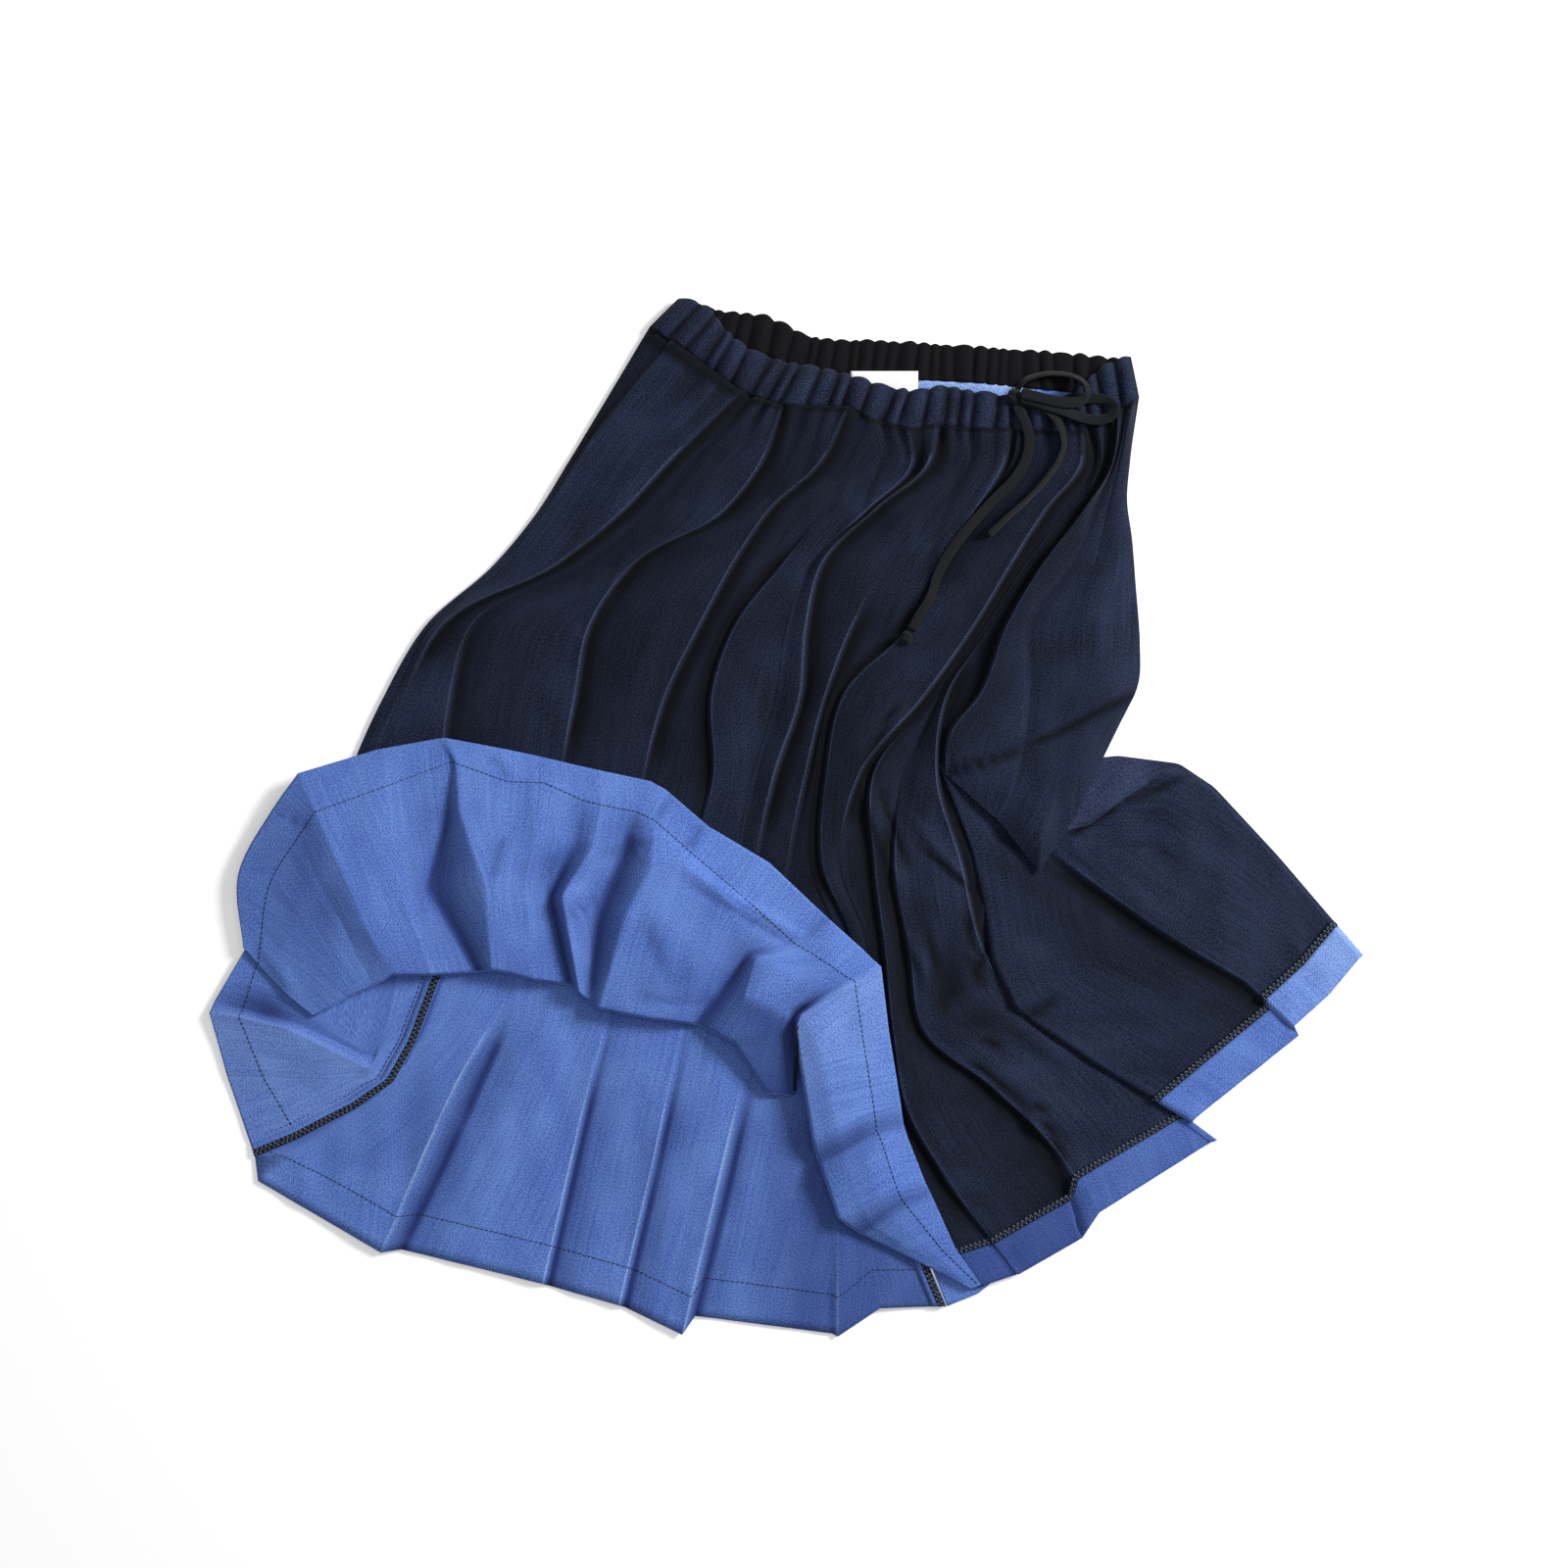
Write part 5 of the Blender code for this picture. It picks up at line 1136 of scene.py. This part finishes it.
wrapped, _ = pleated(WRAPPED_UNDER)
wrapped_points = metres(wrapped)
wrapped_under = cloth_piece("front_cloth_wrapped_under", wrapped_points, metres(lowered(wrapped, CLOTH)),
                            BLUE, NAVY)
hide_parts("front_panel_wrapped_under")

# The waistband.
# A casing of the same navy cloth, gathered on the drawstring at the front and on elastic at the back,
# where a black facing covers its inside.

BAND_TOP = (
    (693, 303), (722, 313), (741, 336), (757, 351), (800, 368), (857, 379), (892, 390), (937, 398),
    (962, 393), (994, 399), (1020, 402), (1062, 408), (1100, 396), (1122, 376), (1154, 362),
)
BACK_TOP = (
    (706, 307), (739, 316), (785, 323), (801, 330), (825, 341), (894, 346), (973, 351), (1060, 357),
    (1122, 363), (1146, 366),
)
Gathers = namedtuple("Gathers", "count rise depth floor")  # heights in mm
FRONT_GATHERS = Gathers(WAIST_GATHERS, 4.4, 6.0, 6.4)
BACK_GATHERS = Gathers(30, 2.0, 3.4, 0.0)
CELLS_A_GATHER = 10  # squares along the band in each gather
BAND_ROWS = 15  # rows of points across the band
BAND_SEAM_GAP = -0.8  # steps: the band's foot tucks over the panel's top
GATHER_EDGE = 3.6  # steps that the top edge swells by in each gather
FACING_CLEAR, FACING_THICK = 0.3, 0.9  # mm
FACING_WEAVE = 1 / 900  # metres


def gathered(top, panel_edge, gathers, seed):
    """A gathered band between its top edge and the panel it is sewn to, and the painted shade at each point.

    Along the band each gather is |sin|^0.8, round on top and sharp between, with drifting spacing and
    size; across the band it is a low arch, and the gathers lean a little.
    """
    chance = np.random.default_rng(seed)
    count = gathers.count * CELLS_A_GATHER + 1
    along = np.linspace(0, 1, count)[None, :]
    share = np.linspace(0, 1, BAND_ROWS)[:, None]
    top_edge = even_along(curve_through(top, 8), count)
    foot_edge = even_along(panel_edge - (0, BAND_SEAM_GAP), count)
    size = np.interp(along, np.linspace(0, 1, gathers.count), chance.uniform(0.4, 1.2, gathers.count))
    up = (top_edge - foot_edge) / np.linalg.norm(top_edge - foot_edge, axis=1, keepdims=True)
    lean = 0.5 * np.sin(9.1 * along * np.pi) * (share - 0.5)
    wave = np.abs(np.sin(np.pi * gather_phase(gathers.count, along, seed) + lean)) ** 0.8 * size
    scallop = (wave - 0.5) * GATHER_EDGE * (1 - share) ** 2
    plan = top_edge * (1 - share)[..., None] + foot_edge * share[..., None] + up * scallop[..., None]
    arch = np.sin(np.pi * (0.04 + 0.9 * share)) ** 0.5
    height = gathers.floor + gathers.rise * arch + (wave - 0.5) * gathers.depth * (0.35 + 0.65 * arch)
    height = np.maximum(height, gathers.floor + 0.3)
    # Painted shade between the gathers and along the band's foot.
    sunk = np.clip(1 - wave / 0.55, 0, 1) ** 0.8 * 0.95
    return np.concatenate([plan, height[..., None]], axis=-1), np.maximum(sunk, (share > 0.93) * 0.9)


def band(name, node, grid, floor, face, sunk):
    """A gathered band as a sheet from its upper grid down to its floor."""
    lower = grid.copy()
    lower[..., 2] = np.maximum(grid[..., 2] - 3 * CLOTH, floor)
    points = metres(grid)
    piece = cloth_piece(name, points, metres(lower), face, face, marks={"deep": sunk})
    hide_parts(node)
    return piece


def black_facing_tape():
    """Matt black woven cotton tape, faintly ribbed."""
    material, tree, shader = new_material("black_woven_facing", 0.9, 0.03)
    cloth = add_node(tree, "ShaderNodeUVMap", uv_map="cloth")
    weave = add_node(tree, "ShaderNodeTexNoise", {"Scale": 1 / FACING_WEAVE, "Detail": 2.0},
                     {"Vector": (cloth, 0)})
    tone = add_node(tree, "ShaderNodeValToRGB", None, {"Fac": (weave, 0)})
    tone.color_ramp.elements[0].color = linear("#060607")
    tone.color_ramp.elements[1].color = linear("#17161a")
    tree.links.new(tone.outputs[0], shader.inputs["Base Color"])
    bump = add_node(tree, "ShaderNodeBump", {"Strength": 0.4, "Distance": 0.0003}, {"Height": (weave, 0)})
    tree.links.new(bump.outputs[0], shader.inputs["Normal"])
    return material


FACING = black_facing_tape()
front_band_grid, front_sunk = gathered(BAND_TOP, front[0, :, :2], FRONT_GATHERS, 21)
front_band = band("waistband_front_cloth", "waistband_front", front_band_grid, FRONT_GATHERS.floor, NAVY,
                  front_sunk)
back_edge = np.concatenate([back[0, :, :2], wrapped[0, :, :2]])
back_band_grid, back_sunk = gathered(BACK_TOP, back_edge, BACK_GATHERS, 22)
back_band = band("waistband_back_cloth", "waistband_back", back_band_grid, BACK_GATHERS.floor, NAVY,
                 back_sunk)
facing_grid = back_band_grid.copy()
facing_grid[..., 2] += FACING_CLEAR + FACING_THICK
facing = cloth_piece("waistband_facing_cloth", metres(facing_grid),
                     metres(lowered(facing_grid, FACING_THICK)), FACING, FACING)
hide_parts("waistband_facing")

# The label.
# A blank white woven tape, folded over and sewn in under the facing's foot.

LABEL_LEFT, LABEL_RIGHT = 868, 937  # steps
LABEL_TOP, LABEL_FOOT = 378, 404
LABEL_HEIGHT, LABEL_THICK = 4.4, 0.6  # mm
LABEL_WAVE = 0.3  # mm


def white_woven_label():
    """Soft white satin-woven polyester, bright."""
    material, _, shader = new_material("white_woven_label", 0.6, 0.1)
    shader.inputs["Base Color"].default_value = linear("#f7f7f8")
    return material


u, v = np.meshgrid(np.linspace(0, 1, 24), np.linspace(0, 1, 10))
label_x = LABEL_LEFT + (LABEL_RIGHT - LABEL_LEFT) * u
label_y = LABEL_TOP + (LABEL_FOOT - LABEL_TOP) * v
label_z = LABEL_HEIGHT + LABEL_THICK + LABEL_WAVE * np.sin(3 * np.pi * u) * v
label_grid = np.stack([label_x, label_y, label_z], axis=-1)
LABEL_TAPE = white_woven_label()
label = cloth_piece("label_tape", metres(label_grid), metres(lowered(label_grid, LABEL_THICK)), LABEL_TAPE,
                    LABEL_TAPE)
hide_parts("label")

# The drawstring.
# A black tubular cotton tape, 8 mm wide and pressed flat. It comes out of the casing at the right,
# is tied in a bow, and its long tail ends in a small knot.

TAPE_WIDTH, TAPE_THICK = 8.0, 2.0  # mm
TAPE_CLEAR = 0.25  # mm
TAPE_END = 0.6  # how much narrower the tape's end rings are
BOXY = 2.6  # the power in the tape's section: 2 would be an ellipse, and more is boxier
KNIT = 1 / 1100  # metres
ROUTE_CELLS = 8  # curve points from one route point to the next
HELD_OVER = 5  # curve points each way that the tape stays as high as the highest cloth
SMOOTHED_OVER = 4  # curve points each way that its height is averaged over
ROLLED_LIFT = 0.6  # share of the tape's half width that it rises by where it is rolled on edge
TapeRun = namedtuple("TapeRun", "name node far_end length route")  # each route point is x, y and degrees
TAPE_RUNS = (
    TapeRun("tape_tail_long", "drawstring_tail_long", "knot", 0.203, (
        (1037, 413, 0), (1042, 423, 0), (1047, 434, 0), (1050, 449, 0), (1047, 468, 0), (1036, 488, 10),
        (1016, 508, 20), (996, 530, 20), (972, 560, 10), (957, 586, 20), (950, 608, 30), (936, 632, 10),
        (930, 643, 0))),
    TapeRun("tape_tail_short", "drawstring_tail_short", "bare", 0.145, (
        (1041, 408, 0), (1051, 411, 0), (1062, 415, 10), (1074, 424, 30), (1082, 438, 45), (1085, 454, 55),
        (1080, 470, 60), (1068, 488, 60), (1050, 508, 65), (1030, 526, 60), (1008, 547, 50))),
    TapeRun("tape_loop_lower", "drawstring_loop_lower", "object", 0.116, (
        (1041, 406, 0), (1051, 409, 0), (1066, 414, 10), (1085, 420, 15), (1103, 426, 15), (1120, 429, 15),
        (1133, 425, 20), (1137, 417, 30), (1131, 410, 30), (1117, 407, 20), (1093, 409, 0))),
    TapeRun("tape_loop_upper", "drawstring_loop_upper", "object", 0.125, (
        (1038, 398, 60), (1044, 389, 62), (1058, 383, 62), (1082, 381, 62), (1098, 385, 60), (1107, 393, 60),
        (1109, 403, 50), (1102, 410, 25), (1089, 412, 5), (1070, 409, 0), (1053, 405, 0), (1041, 402, 0))),
)
Knot = namedtuple("Knot", "name node x y wide long high")  # steps, and sizes in mm
KNOTS = (
    Knot("tape_bow_knot", "drawstring_bow_knot", 1035, 405, 10.5, 12, 8),
    Knot("tape_tip_knot", "drawstring_tip_knot", 925, 651, 8, 10, 6),
)


def black_cotton_tape():
    """Matt black knitted tubular cotton, slightly grey where it catches the light."""
    material, tree, shader = new_material("black_tubular_cotton", 0.9, 0.08)
    cloth = add_node(tree, "ShaderNodeTexCoord")
    knit = add_node(tree, "ShaderNodeTexNoise", {"Scale": 1 / KNIT, "Detail": 2.0},
                    {"Vector": (cloth, "Object")})
    tone = add_node(tree, "ShaderNodeValToRGB", None, {"Fac": (knit, 0)})
    tone.color_ramp.elements[0].color = linear("#0c0d0e")
    tone.color_ramp.elements[1].color = linear("#212426")
    tree.links.new(tone.outputs[0], shader.inputs["Base Color"])
    bump = add_node(tree, "ShaderNodeBump", {"Strength": 0.5, "Distance": 0.0004}, {"Height": (knit, 0)})
    tree.links.new(bump.outputs[0], shader.inputs["Normal"])
    return material


TAPE = black_cotton_tape()


def tree_of(piece):
    """A search tree of a piece's faces, to find what lies under a place."""
    bpy.context.view_layer.update()
    return BVHTree.FromObject(piece, bpy.context.evaluated_depsgraph_get())


def top_near(trees, x, y, reach):
    """The highest cloth within reach of a place, all in metres."""
    turns = np.linspace(0, 2 * np.pi, 8, endpoint=False)
    places = [(x, y), *((x + reach * np.cos(turn), y + reach * np.sin(turn)) for turn in turns)]
    hits = [tree.ray_cast((*place, 1.0), (0, 0, -1))[0] for tree in trees for place in places]
    return max((hit.z for hit in hits if hit is not None), default=0.0)


def tape_surface(path, roll):
    """Rings of a flattened tube: each ring is a superellipse |x / a|^2.6 + |z / b|^2.6 = 1, rolled about
    the path by an angle. Its ends close with a smaller ring."""
    side, rise = side_and_rise(path)
    turn = np.linspace(0, 2 * np.pi, 20, endpoint=False)
    round_off = (np.abs(np.cos(turn)) ** BOXY + np.abs(np.sin(turn)) ** BOXY) ** (-1 / BOXY)
    wide = np.cos(turn) * round_off * TAPE_WIDTH / 2 * MM
    high = np.sin(turn) * round_off * TAPE_THICK / 2 * MM
    size = np.ones(len(path))
    size[[0, -1]] = TAPE_END
    across_tape = side * np.cos(roll)[:, None] + rise * np.sin(roll)[:, None]
    through_tape = rise * np.cos(roll)[:, None] - side * np.sin(roll)[:, None]
    ring = wide[None, :, None] * across_tape[:, None] + high[None, :, None] * through_tape[:, None]
    return path[:, None] + ring * size[:, None, None]


def knot_piece(entry, trees):
    """A pulled-tight knot: an ellipsoid that swells in wraps of tape by 1 + 0.25 |sin(3 tilt + turn)|."""
    x, y, _ = metres(np.array([entry.x, entry.y, 0.0]))
    floor = top_near(trees, x, y, entry.wide / 3 * MM)
    tilt = np.linspace(0.06, np.pi - 0.06, 30)[:, None]
    turn = np.linspace(0, 2 * np.pi, 36, endpoint=False)[None, :]
    wraps = 1 + 0.25 * np.abs(np.sin(3 * tilt + turn))
    around = np.sin(tilt) * wraps
    ball = np.stack([around * np.cos(turn), np.cos(tilt) + 0 * turn, around * np.sin(turn)], axis=-1)
    sizes = np.array([entry.wide, entry.long, entry.high]) / 2 * MM
    middle = np.array([x, y, floor + (TAPE_CLEAR + entry.high / 2) * MM])
    piece = closed_rings(entry.name, [(middle + ball * sizes)[:, ::-1]], TAPE)
    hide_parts(entry.node)
    return piece


trees = [tree_of(piece) for piece in (front_panel, front_band, facing)]
knots = [knot_piece(entry, trees) for entry in KNOTS]
for run in TAPE_RUNS:
    stations = np.array(run.route, float)
    flat_route = np.column_stack([stations[:, :2], np.zeros(len(stations))])
    rolls = np.column_stack([stations[:, 2], np.zeros((len(stations), 2))])
    plan = curve_through(flat_route, ROUTE_CELLS)
    roll = np.radians(curve_through(rolls, ROUTE_CELLS)[:, 0])
    path = metres(plan)
    reach = TAPE_WIDTH / 2 * MM
    heights = np.array([top_near(trees, x, y, reach) for x, y, _ in path])
    held = np.array([heights[max(k - HELD_OVER, 0) : k + HELD_OVER + 1].max() for k in range(len(heights))])
    even = np.ones(2 * SMOOTHED_OVER + 1) / (2 * SMOOTHED_OVER + 1)
    held = np.convolve(np.pad(held, SMOOTHED_OVER, mode="edge"), even, mode="valid")
    lift = TAPE_THICK / 2 * np.cos(roll) + TAPE_WIDTH / 2 * np.sin(roll) * ROLLED_LIFT
    path[:, 2] = held + (TAPE_CLEAR + lift) * MM
    piece = closed_rings(run.name, [tape_surface(path, roll)], TAPE)
    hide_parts(run.node)
    trees.append(tree_of(piece))
